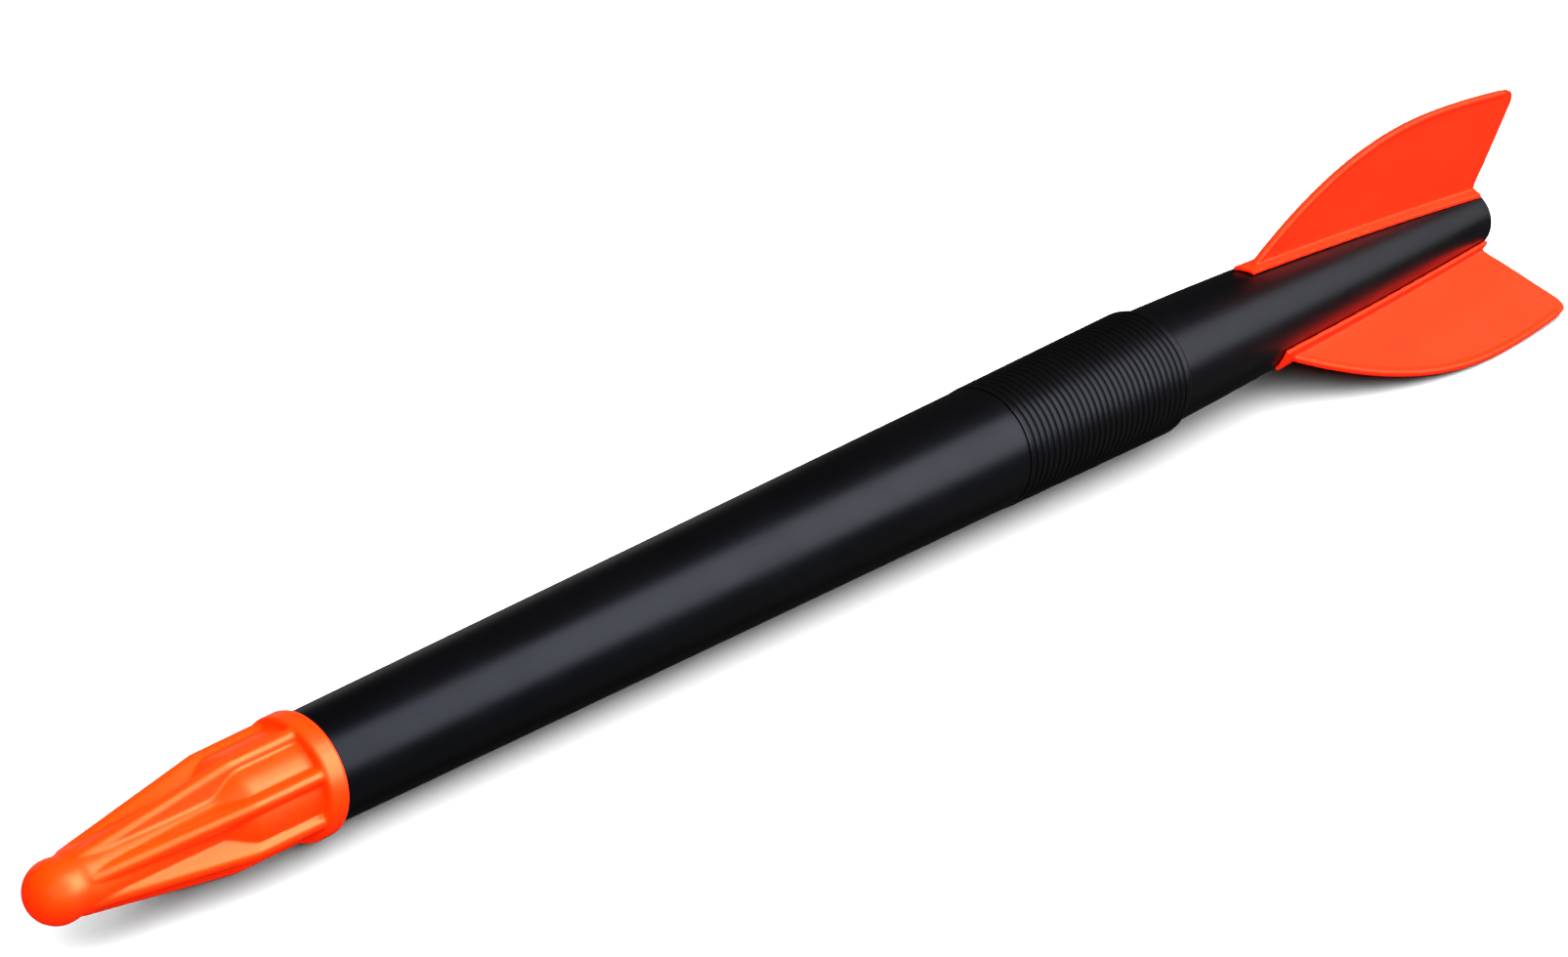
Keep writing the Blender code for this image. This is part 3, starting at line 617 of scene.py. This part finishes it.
def plastic(slot):
    """The moulded plastic of a slot, with pigment drift, skin, scuffs and polished edges."""
    look = PLASTICS[slot]
    if look["name"] in bpy.data.materials:
        return bpy.data.materials[look["name"]]
    material = bpy.data.materials.new(look["name"])
    material.use_nodes = True
    tree = material.node_tree
    shader = tree.nodes["Principled BSDF"]
    shader.inputs["Metallic"].default_value = 0.0
    shader.inputs["Specular IOR Level"].default_value = look["specular"]
    shader.inputs["Specular Tint"].default_value = look["tint"]

    colours = bpy.context.scene.javelin_colours
    base = (*getattr(colours, slot), 1.0)
    deep = (*getattr(colours, slot + "_deep"), 1.0)
    pigment = place_effect(tree, "Pigment drift", Colour=base, Deep_Colour=deep, Amount=1.0)
    tree.links.new(pigment.outputs["Colour"], shader.inputs["Base Color"])

    skin = place_effect(
        tree, "Moulded skin", Grain_Size=look["grain"], Roughness=look["roughness"], Drift=look["drift"]
    )
    marks = place_effect(tree, "Handling scuffs", Amount=look["scuffs"])
    polish = place_effect(tree, "Edge mask", Amount=look["polish"])
    rough = math_node(tree, "ADD", skin.outputs["Roughness"], marks.outputs["Mask"])
    rough = math_node(tree, "SUBTRACT", rough, polish.outputs["Mask"])
    tree.links.new(rough, shader.inputs["Roughness"])

    relief = tree.nodes.new("ShaderNodeBump")
    relief.inputs["Strength"].default_value = 1.0
    relief.inputs["Distance"].default_value = look["relief"]
    height = math_node(tree, "SUBTRACT", skin.outputs["Height"], marks.outputs["Mask"])
    tree.links.new(height, relief.inputs["Height"])
    tree.links.new(relief.outputs["Normal"], shader.inputs["Normal"])
    return material


class Button:
    """What the buttons share: each models its pieces as one step that can be undone."""

    bl_options = {"REGISTER", "UNDO"}

    def execute(self, context):
        self.model(context.scene)
        return {"FINISHED"}


# Nose cap


def cap_outline(s):
    """Half section of the cap's round body from its tip to the middle of its back face."""
    collar = s.length - s.collar_width
    crown = s.collar_radius - s.collar_rounding
    rounding = s.collar_rounding
    points = arc(s.ball_radius, 0.0, s.ball_radius, s.ball_radius, 0.0, 105.0, BALL_STEPS)
    points[0] = (0.0, 0.0)
    points += [(s.neck_station, s.neck_radius), (s.throat_station, s.throat_radius)]
    cone = (s.cone_station, s.cone_radius)
    knee = (s.knee_station, s.knee_radius)
    ramp = (s.ramp_station, s.ramp_radius)
    before_knee = stations(s.cone_station, s.knee_station)[:-1]
    points += [(station, along(cone, knee, station)) for station in before_knee]
    points += [eased(knee, ramp, i / RAMP_STEPS) for i in range(RAMP_STEPS + 1)]
    points.append((collar, s.pocket_radius))
    points += arc(collar + rounding, crown, rounding, rounding, 0.0, 90.0, COLLAR_STEPS)
    points += arc(s.length - rounding, crown, rounding, rounding, 90.0, 180.0, COLLAR_STEPS)
    points.append((s.length, 0.0))
    return points


def eased(start, end, share):
    """A point between two (station, radius) points that leaves the first and meets the last gently."""
    rise = share * share * (3.0 - 2.0 * share)
    return start[0] + (end[0] - start[0]) * share, start[1] + (end[1] - start[1]) * rise


def rib_size(s, station):
    """(crest height, crest width) of a rib at a station."""
    width = min(s.rib_width, along((s.rib_start, s.rib_start_width), (s.rib_full, s.rib_width), station))
    knee = (s.rib_knee, s.rib_knee_height)
    if station <= s.rib_knee:
        return along((s.rib_start, s.rib_start_height), knee, station), width
    return along(knee, (s.length - s.collar_width, s.rib_end_height), station), width


def draw_rib(s):
    """One rib: a small plane drawn out along the cap, then widened at its foot and rounded at its crest."""
    marks = [s.rib_start, s.rib_full, s.rib_knee, s.length - s.collar_width / 2]
    height, width = rib_size(s, marks[0])
    deselect()
    bpy.ops.mesh.primitive_plane_add(size=1.0, location=(0.0, 0.0, 0.0))
    rib = newest()
    bpy.ops.object.mode_set(mode="EDIT")
    bpy.ops.mesh.select_all(action="SELECT")
    bpy.ops.transform.resize(value=(s.rib_depth, width, 1.0))
    bpy.ops.transform.translate(value=(height - s.rib_depth / 2, 0.0, -marks[0]))
    for before, after in zip(marks, marks[1:]):
        old_height, old_width = rib_size(s, before)
        new_height, new_width = rib_size(s, after)
        move = (new_height - old_height, 0.0, before - after)
        bpy.ops.mesh.extrude_region_move(TRANSFORM_OT_translate={"value": move})
        middle = (new_height - s.rib_depth / 2, 0.0, -after)
        bpy.ops.transform.resize(value=(1.0, new_width / old_width, 1.0), center_override=middle)
    mend()
    for station, gain in zip(marks, (s.rib_foot, s.rib_foot, s.rib_knee_foot, s.rib_foot)):
        choose_edges(rib, foot_edge, s, station)
        width = rib_size(s, station)[1]
        wider = (width + 2.0 * gain) / width
        bpy.ops.transform.resize(value=(1.0, wider, 1.0), center_override=(0.0, 0.0, 0.0))
    choose_edges(rib, crest_edge, s)
    bpy.ops.mesh.bevel(offset=s.rib_rounding, segments=CREST_STEPS, affect="EDGES")
    object_mode()
    return rib


def choose_edges(piece, chosen, *details):
    """Selects the edges of the piece in edit mode for which the test of edge and details holds."""
    bpy.ops.mesh.select_all(action="DESELECT")
    shape = bmesh.from_edit_mesh(piece.data)
    for edge in shape.edges:
        if chosen(edge, *details):
            edge.select = True
    bmesh.update_edit_mesh(piece.data)


def foot_edge(edge, s, station):
    """Whether an edge of the rib lies across its foot at the station."""
    below = rib_size(s, station)[0] - s.rib_depth / 2
    return all(abs(corner.co.z + station) < MERGE and corner.co.x < below for corner in edge.verts)


def crest_edge(edge, s):
    """Whether an edge of the rib runs along its crest."""
    first, second = (corner.co for corner in edge.verts)
    above = all(place.x > rib_size(s, -place.z)[0] - s.rib_depth / 2 for place in (first, second))
    return above and abs(first.z - second.z) > MERGE


def turned_copies(piece, count, start):
    """Copies of one piece round the axis, the first at the start angle in degrees."""
    turned = copies(piece, count)
    for i, copy in enumerate(turned):
        pick(copy)
        copy.rotation_euler.z = math.radians(start) + math.tau * i / count
        bpy.ops.object.transform_apply()
    return turned


class JAVELIN_OT_nose_cap(Button, Operator):
    """Models the soft nose cap with its ball tip, ribs, valleys and collar"""

    bl_idname = "javelin.nose_cap"
    bl_label = "Nose Cap"

    def model(self, scene):
        s = scene.javelin_nose
        cap = spin("soft_nose_cap", cap_outline(s), CAP_TURN_STEPS)
        ribs = turned_copies(draw_rib(s), s.rib_count, s.rib_roll)
        cap = join([cap, *ribs], "soft_nose_cap")
        soften(cap, *CAP_SKIN)

        beyond = s.length + 0.002
        socket = [
            (s.socket_end, 0.0), (s.socket_end, s.socket_end_radius), (s.socket_taper, s.socket_radius),
            (beyond, s.socket_radius), (beyond, 0.0),
        ]
        cut(cap, spin("socket", socket, SOCKET_TURN_STEPS))
        finish(cap, AXIS, "nose_cap", "soft_orange")


# Barrel, grip and tail


class JAVELIN_OT_barrel(Button, Operator):
    """Models the tapered barrel with the neck that carries the grip"""

    bl_idname = "javelin.barrel"
    bl_label = "Barrel"

    def model(self, scene):
        s = scene.javelin_body
        front = (s.barrel_start, s.barrel_front_radius)
        rear = (s.barrel_end, s.barrel_rear_radius)
        outline = [(station, along(front, rear, station)) for station in stations(front[0], rear[0])]
        spigot_end = s.tail_start - s.spigot_length - FIT_GAP
        bore = s.barrel_front_radius - s.barrel_wall
        outline += [
            (s.barrel_end, s.neck_radius), (s.neck_end, s.neck_radius), (s.neck_end, s.socket_radius),
            (spigot_end, s.socket_radius), (spigot_end, s.socket_radius - STOP_STEP),
            (s.barrel_start + STRAIGHT_BORE, bore), (s.barrel_start, bore),
        ]
        barrel = spin("tapered_barrel", outline, TURN_STEPS, closed=True)
        round_edges(barrel, BARREL_ROUNDING)
        finish(barrel, AXIS, "front_barrel", "satin_black")


class JAVELIN_OT_grip(Button, Operator):
    """Models the grip with its grooves and its rounded rear end"""

    bl_idname = "javelin.grip"
    bl_label = "Grip"

    def model(self, scene):
        s = scene.javelin_body
        end = s.grip_start + s.grip_length
        front = (s.grip_start, s.grip_front_radius)
        rear = (end - s.shoulder_length, s.grip_rear_radius)
        half = s.groove_width / 2
        flat = half * FLOOR_SHARE
        lip = half + LIP_WIDTH
        outline = [(s.grip_start, s.grip_front_radius - 0.0001)]
        for i in range(s.groove_count):
            middle = s.grip_start + s.groove_first + half + i * s.groove_pitch
            land = along(front, rear, middle)
            floor = land - s.groove_depth
            outline += [
                (middle - lip, land), (middle - half, land - LIP_DROP), (middle - flat, floor + FLOOR_RISE),
                (middle, floor),
                (middle + flat, floor + FLOOR_RISE), (middle + half, land - LIP_DROP), (middle + lip, land),
            ]
        crown = s.grip_rear_radius - s.shoulder_drop
        outline += arc(rear[0], crown, s.shoulder_length, s.shoulder_drop, 90.0, 180.0, SHOULDER_STEPS)
        outline += [(end, s.neck_radius + FIT_GAP), (s.grip_start, s.neck_radius + FIT_GAP)]
        grip = spin("grooved_grip", outline, TURN_STEPS, closed=True)
        finish(grip, AXIS, "grip_sleeve", "grip_black")


def tail_radius(s, station):
    """Outer radius of the tail, which leaves the grip level and narrows ever faster."""
    share = min(max((station - s.tail_start) / s.tail_length, 0.0), 1.0)
    return s.tail_front_radius - (s.tail_front_radius - s.tail_rear_radius) * share**s.tail_power


class JAVELIN_OT_tail(Button, Operator):
    """Models the tail tube with its spigot and slots, and the plug that closes it"""

    bl_idname = "javelin.tail"
    bl_label = "Tail"

    def model(self, scene):
        s = scene.javelin_body
        fins = scene.javelin_fins
        last = s.tail_start + s.tail_length
        end = last - s.plug_thickness - FIT_GAP
        inner = s.spigot_radius - s.tail_wall
        outline = [(s.tail_start - s.spigot_length, s.spigot_radius), (s.tail_start, s.spigot_radius)]
        outside = stations(s.tail_start, end, TAPER_SPACING)
        outline += [(station, tail_radius(s, station)) for station in outside]
        inside = stations(s.tail_start + s.tail_wall, end, BORE_SPACING)
        outline += [(station, tail_radius(s, station) - s.tail_wall) for station in reversed(inside)]
        outline += [(s.tail_start + s.tail_wall, inner), (s.tail_start - s.spigot_length, inner)]
        tube = spin("tail_taper", outline, TURN_STEPS, closed=True)
        round_edges(tube, TAIL_ROUNDING)

        slots = []
        for roll in FIN_ROLLS.values():
            for front, back in tab_spans(fins):
                low = tab_bottom(s, fins, front, back) - fins.tab_depth
                high = tail_radius(s, front) + fins.tab_depth
                lengths = (back - front + 2 * FIT_GAP, high - low, fins.thickness + 2 * FIT_GAP)
                slot = block(((front + back) / 2, (low + high) / 2, 0.0), lengths)
                slot.matrix_world = fin_place(fins, roll)
                slots.append(slot)
        cut(tube, join(slots, "slots"))
        finish(tube, AXIS, "tail_tube", "satin_black")

        head = last - s.plug_thickness
        edge = s.tail_rear_radius - HEAD_INSET
        stem = s.tail_rear_radius - s.tail_wall - FIT_GAP
        outline = [
            (head - s.plug_stem, 0.0), (head - s.plug_stem, stem), (head, stem), (head, edge), (last, edge),
            *((last, edge - ring) for ring in HEAD_RINGS), (last, 0.0),
        ]
        plug = spin("tail_end_plug", outline, TURN_STEPS)
        round_edges(plug, PLUG_ROUNDING)
        finish(plug, AXIS, "tail_plug", "satin_black")


# Fins


def flat_to_axis(roll):
    """Turns a fin's (station, height, sideways) into the javelin's axes."""
    axes = Matrix(((0.0, 1.0, 0.0), (0.0, 0.0, -1.0), (-1.0, 0.0, 0.0))).to_4x4()
    return Matrix.Rotation(math.radians(roll), 4, "Z") @ axes


def cant(s):
    """Turns a fin about the middle of its foot."""
    middle = Matrix.Translation(((s.foot_start + s.foot_end) / 2, 0.0, 0.0))
    return middle @ Matrix.Rotation(math.radians(-s.cant), 4, "Y") @ middle.inverted()


def fin_place(s, roll):
    return flat_to_axis(roll) @ cant(s)


def tab_spans(s):
    """The (front, back) stations of the two tabs of a fin."""
    front = s.foot_start + s.tab_front
    back = s.foot_end - s.tab_back
    return [(front, front + s.tab_length), (back - s.tab_length, back)]


def tab_bottom(body, s, front, back):
    return min(tail_radius(body, front), tail_radius(body, back)) - body.tail_wall - s.tab_depth


def foot_top(body, s, station):
    return tail_radius(body, station) + s.foot_gap + s.foot_thickness


def fin_edge(body, s):
    """Bezier points of the free edge, each (point, handle before, handle after) in (station, height).

    The shares give the length of a handle against the stretch that it reaches along.
    """
    front = s.foot_start + s.root_setback
    start = Vector((front, foot_top(body, s, front) - s.root_sink))
    crest = Vector((s.crest_station, s.crest_height))
    corner = Vector((s.corner_station, s.corner_height))
    waist = Vector((s.waist_station, s.waist_height))
    end = Vector((s.foot_end - s.root_sink, foot_top(body, s, s.foot_end) - s.root_sink))
    rise = crest - start
    reach = Vector((0.34 * rise.x, 0.0))
    over = crest + Vector((0.36 * (corner.x - crest.x), 0.0))
    shoulder = corner + s.corner_rounding * (over - corner).normalized()
    tip = corner + s.corner_rounding * (waist - corner).normalized()
    lean = tip - waist
    return [
        (start, start, start + Vector((0.34 * rise.x, 0.74 * rise.y))),
        (crest, crest - reach, over),
        (shoulder, shoulder.lerp(over, 0.36), shoulder.lerp(corner, 0.6)),
        (tip, tip.lerp(corner, 0.6), tip.lerp(waist, 0.34)),
        (waist, waist + 0.4 * lean, waist - 0.12 * lean),
        (end, end + Vector((0.0, 0.34 * (waist.y - end.y))), end),
    ]


def draw_plate(body, s):
    """The flat plate with its two tabs: a filled curve with a thickness and a small rounding, made a mesh."""
    deselect()
    bpy.ops.curve.primitive_bezier_circle_add(radius=0.01, location=(0.0, 0.0, 0.0))
    plate = newest()
    curve = plate.data
    curve.dimensions = "2D"
    curve.fill_mode = "BOTH"
    curve.bevel_depth = PLATE_ROUNDING
    curve.bevel_resolution = 2
    curve.offset = -PLATE_ROUNDING
    curve.extrude = s.thickness / 2 - PLATE_ROUNDING
    curve.resolution_u = 20
    free_edge = fin_edge(body, s)
    root = []
    for front, back in reversed(tab_spans(s)):
        low = tab_bottom(body, s, front, back)
        root += [(back, foot_top(body, s, back) - s.root_sink), (back, low)]
        root += [(front, low), (front, foot_top(body, s, front) - s.root_sink)]
    line = curve.splines[0]
    line.bezier_points.add(len(free_edge) + len(root) - len(line.bezier_points))
    for point, (place, before, after) in zip(line.bezier_points, free_edge):
        point.handle_left_type = "FREE"
        point.handle_right_type = "FREE"
        point.co = (*place, 0.0)
        point.handle_left = (*before, 0.0)
        point.handle_right = (*after, 0.0)
    for point, place in zip(line.bezier_points[len(free_edge) :], root):
        point.handle_left_type = "VECTOR"
        point.handle_right_type = "VECTOR"
        point.co = (*place, 0.0)
    pick(plate)
    bpy.ops.object.convert(target="MESH")
    clean(plate)
    return plate


def clean(piece):
    """Closes loose seams and turns every face outwards."""
    pick(piece)
    bpy.ops.object.mode_set(mode="EDIT")
    mend()
    object_mode()


def edge_point(before, after, share):
    """A point on the curve between two entries of the free edge."""
    a, b, c, d = (Vector(place) for place in (before[0], before[2], after[1], after[0]))
    rest = 1.0 - share
    return rest**3 * a + 3 * rest**2 * share * b + 3 * rest * share**2 * c + share**3 * d


def draw_rim(body, s):
    """The bead along the curved front edge: a line through its centre, given a round section."""
    start, crest, shoulder = fin_edge(body, s)[:3]
    edge = [edge_point(start, crest, i / RIM_FRONT_STEPS) for i in range(RIM_FRONT_STEPS)]
    edge += [edge_point(crest, shoulder, i / RIM_REAR_STEPS) for i in range(RIM_REAR_STEPS + 1)]
    centre = []
    for before, place, after in zip(edge, edge[1:], edge[2:]):
        forward = (after - before).normalized()
        centre.append(place + Vector((forward.y, -forward.x)) * (s.rim_radius - s.rim_stand))
    rim = draw_line("rim", [(*place, 0.0) for place in centre])
    object_mode()
    bpy.ops.object.convert(target="CURVE")
    rim.data.bevel_depth = s.rim_radius
    rim.data.bevel_resolution = 4
    rim.data.use_fill_caps = True
    bpy.ops.object.convert(target="MESH")
    clean(rim)
    return rim


def draw_foot(body, s):
    """The foot: a strip cut from a shell that fits round the tail."""
    rings = stations(body.tail_start, body.tail_start + body.tail_length, TAPER_SPACING)
    outline = [(station, foot_top(body, s, station)) for station in rings]
    outline += [(station, foot_top(body, s, station) - s.foot_thickness) for station in reversed(rings)]
    foot = spin("foot", outline, TURN_STEPS, closed=True, about_x=True)
    pick(foot)
    foot.matrix_world = cant(s).inverted()
    bpy.ops.object.transform_apply()
    middle = ((s.foot_start + s.foot_end) / 2, body.tail_front_radius, 0.0)
    strip = block(middle, (s.foot_end - s.foot_start, body.tail_front_radius, s.foot_width))
    cut(foot, strip, "INTERSECT")
    return foot


class JAVELIN_OT_fins(Button, Operator):
    """Models one fin with its plate, bead, foot and tabs, and copies it to three sides"""

    bl_idname = "javelin.fins"
    bl_label = "Fins"

    def model(self, scene):
        body = scene.javelin_body
        s = scene.javelin_fins
        first = join([draw_plate(body, s), draw_rim(body, s), draw_foot(body, s)], "canted_fin")
        soften(first, *FIN_SKIN)
        for fin, (node, roll) in zip(copies(first, len(FIN_ROLLS)), FIN_ROLLS.items()):
            fin.name = node.replace("fin_", "canted_fin_")
            finish(fin, AXIS @ fin_place(s, roll), node, "fin_orange")


class JAVELIN_OT_inner_plug(Button, Operator):
    """Gives the plug inside the nose cap, which keeps its solid, its plastic"""

    bl_idname = "javelin.inner_plug"
    bl_label = "Inner Plug"

    def model(self, scene):
        plug = frame["nodes"]["nose_plug"]
        plug.data.materials.clear()
        plug.data.materials.append(plastic("satin_black"))


# Stage


def softbox(name, level):
    """An area lamp that faces the javelin's axis squarely, from its front to its back station.

    A turn of 0 degrees is straight above and 90 is level on the side that the camera sees. A lamp that
    the gloss sees is there for reflections only, and another lights the surfaces only.
    """
    turn, distance, front, back, width, gloss = SOFTBOXES[name]
    angle = math.radians(turn)
    outwards = Vector((-math.cos(angle), math.sin(angle), 0.0))
    forwards = Vector((0.0, 0.0, 1.0))
    turned = Matrix((forwards.cross(outwards), forwards, outwards)).transposed().to_4x4()
    middle = outwards * distance - forwards * (front + back) / 2
    place = AXIS @ Matrix.Translation(middle) @ turned
    deselect()
    bpy.ops.object.light_add(type="AREA", location=place.translation, rotation=place.to_euler())
    lamp = newest()
    lamp.name = name + "_softbox"
    lamp.data.shape = "RECTANGLE"
    lamp.data.size = width
    lamp.data.size_y = back - front
    lamp.data.energy = level * math.pi * width * (back - front)
    lamp.data.cycles.use_multiple_importance_sampling = gloss
    lamp.visible_camera = False
    lamp.visible_glossy = gloss
    lamp.visible_diffuse = not gloss
    return lamp


def excluding(name, piece):
    """A collection for light linking that leaves out one piece."""
    collection = bpy.data.collections.new(name)
    collection.objects.link(piece)
    collection.collection_objects[0].light_linking.link_state = "EXCLUDE"
    return collection


def paint_world(settings):
    """A white sky to the camera and a dark surround to the gloss."""
    world = bpy.data.worlds.new("Studio")
    world.use_nodes = True
    tree = world.node_tree
    rays = tree.nodes.new("ShaderNodeLightPath")
    background = tree.nodes["Background"]
    background.inputs["Color"].default_value = (1.0, 1.0, 1.0, 1.0)
    gloss = math_node(tree, "MULTIPLY", rays.outputs["Is Glossy Ray"], settings.dark_side)
    strength = math_node(tree, "ADD", rays.outputs["Is Camera Ray"], gloss)
    tree.links.new(strength, background.inputs["Strength"])
    bpy.context.scene.world = world


class JAVELIN_OT_stage(Button, Operator):
    """Lays the pale floor, hangs the softboxes and sets the camera"""

    bl_idname = "javelin.stage"
    bl_label = "Stage"

    def model(self, scene):
        settings = scene.javelin_stage
        deselect()
        bpy.ops.mesh.primitive_plane_add(size=12.0, location=(0.0, 0.0, -0.0002))
        floor = newest()
        floor.name = "pale_floor"
        paper = bpy.data.materials.new("Pale floor")
        paper.use_nodes = True
        tree = paper.node_tree
        shader = tree.nodes["Principled BSDF"]
        shader.inputs["Roughness"].default_value = 1.0
        shader.inputs["Specular IOR Level"].default_value = 0.0
        shader.inputs["Base Color"].default_value = (*[settings.paper] * 3, 1.0)
        floor.data.materials.append(paper)
        floor.visible_glossy = False
        floor.visible_diffuse = False

        lamps = {name: softbox(name, getattr(settings, name)) for name in SOFTBOXES}
        lit = bpy.data.collections.new("Lit by the floor softbox")
        lit.objects.link(floor)
        lamps["floor"].light_linking.receiver_collection = lit
        through = excluding("Let through from below", floor)
        lamps["bounce"].light_linking.blocker_collection = through
        lamps["low"].light_linking.blocker_collection = through
        beyond = excluding("Beyond the low softbox", bpy.data.objects["soft_nose_cap"])
        lamps["low"].light_linking.receiver_collection = beyond
        paint_world(settings)

        deselect()
        bpy.ops.object.camera_add()
        camera = newest()
        camera.name = "photo_camera"
        right = AXIS.to_3x3() @ Vector(CAMERA_RIGHT).normalized()
        back = AXIS.to_3x3() @ Vector(CAMERA_BACK).normalized()
        up = back.cross(right).normalized()
        turned = Matrix((up.cross(back), up, back)).transposed().to_4x4()
        camera.matrix_world = Matrix.Translation(AXIS @ Vector(CAMERA_PLACE)) @ turned
        camera.data.sensor_width = 36.0
        camera.data.lens = settings.lens
        camera.data.clip_start = 0.05
        camera.data.clip_end = 30.0
        scene.camera = camera
        scene.view_settings.view_transform = "Standard"


class JAVELIN_PT_panel(Panel):
    """Lists the pieces of the javelin and its stage"""

    bl_idname = "JAVELIN_PT_panel"
    bl_label = "Training Javelin"
    bl_space_type = "VIEW_3D"
    bl_region_type = "UI"
    bl_category = "Javelin"

    def draw(self, context):
        scene = context.scene
        groups = (
            (scene.javelin_nose, ("javelin.nose_cap", "javelin.inner_plug")),
            (scene.javelin_body, ("javelin.barrel", "javelin.grip", "javelin.tail")),
            (scene.javelin_fins, ("javelin.fins",)),
            (scene.javelin_colours, ()),
            (scene.javelin_stage, ("javelin.stage",)),
        )
        for settings, operators in groups:
            box = self.layout.box()
            for name in type(settings).__annotations__:
                box.prop(settings, name)
            for name in operators:
                box.operator(name)


SETTINGS = {
    "javelin_nose": NoseSizes,
    "javelin_body": BodySizes,
    "javelin_fins": FinSizes,
    "javelin_colours": Colours,
    "javelin_stage": Stage,
}
CLASSES = (
    *SETTINGS.values(),
    JAVELIN_OT_nose_cap,
    JAVELIN_OT_inner_plug,
    JAVELIN_OT_barrel,
    JAVELIN_OT_grip,
    JAVELIN_OT_tail,
    JAVELIN_OT_fins,
    JAVELIN_OT_stage,
    JAVELIN_PT_panel,
)


def register():
    for cls in CLASSES:
        bpy.utils.register_class(cls)
    for name, kind in SETTINGS.items():
        setattr(bpy.types.Scene, name, PointerProperty(type=kind))


def unregister():
    for name in SETTINGS:
        delattr(bpy.types.Scene, name)
    for cls in reversed(CLASSES):
        bpy.utils.unregister_class(cls)


def main():
    register()
    for name in ("Cube", "Light", "Camera"):
        if name in bpy.data.objects:
            bpy.data.objects.remove(bpy.data.objects[name])
    bpy.ops.javelin.nose_cap()
    bpy.ops.javelin.inner_plug()
    bpy.ops.javelin.barrel()
    bpy.ops.javelin.grip()
    bpy.ops.javelin.tail()
    bpy.ops.javelin.fins()
    bpy.ops.javelin.stage()


if __name__ == "__main__":
    main()
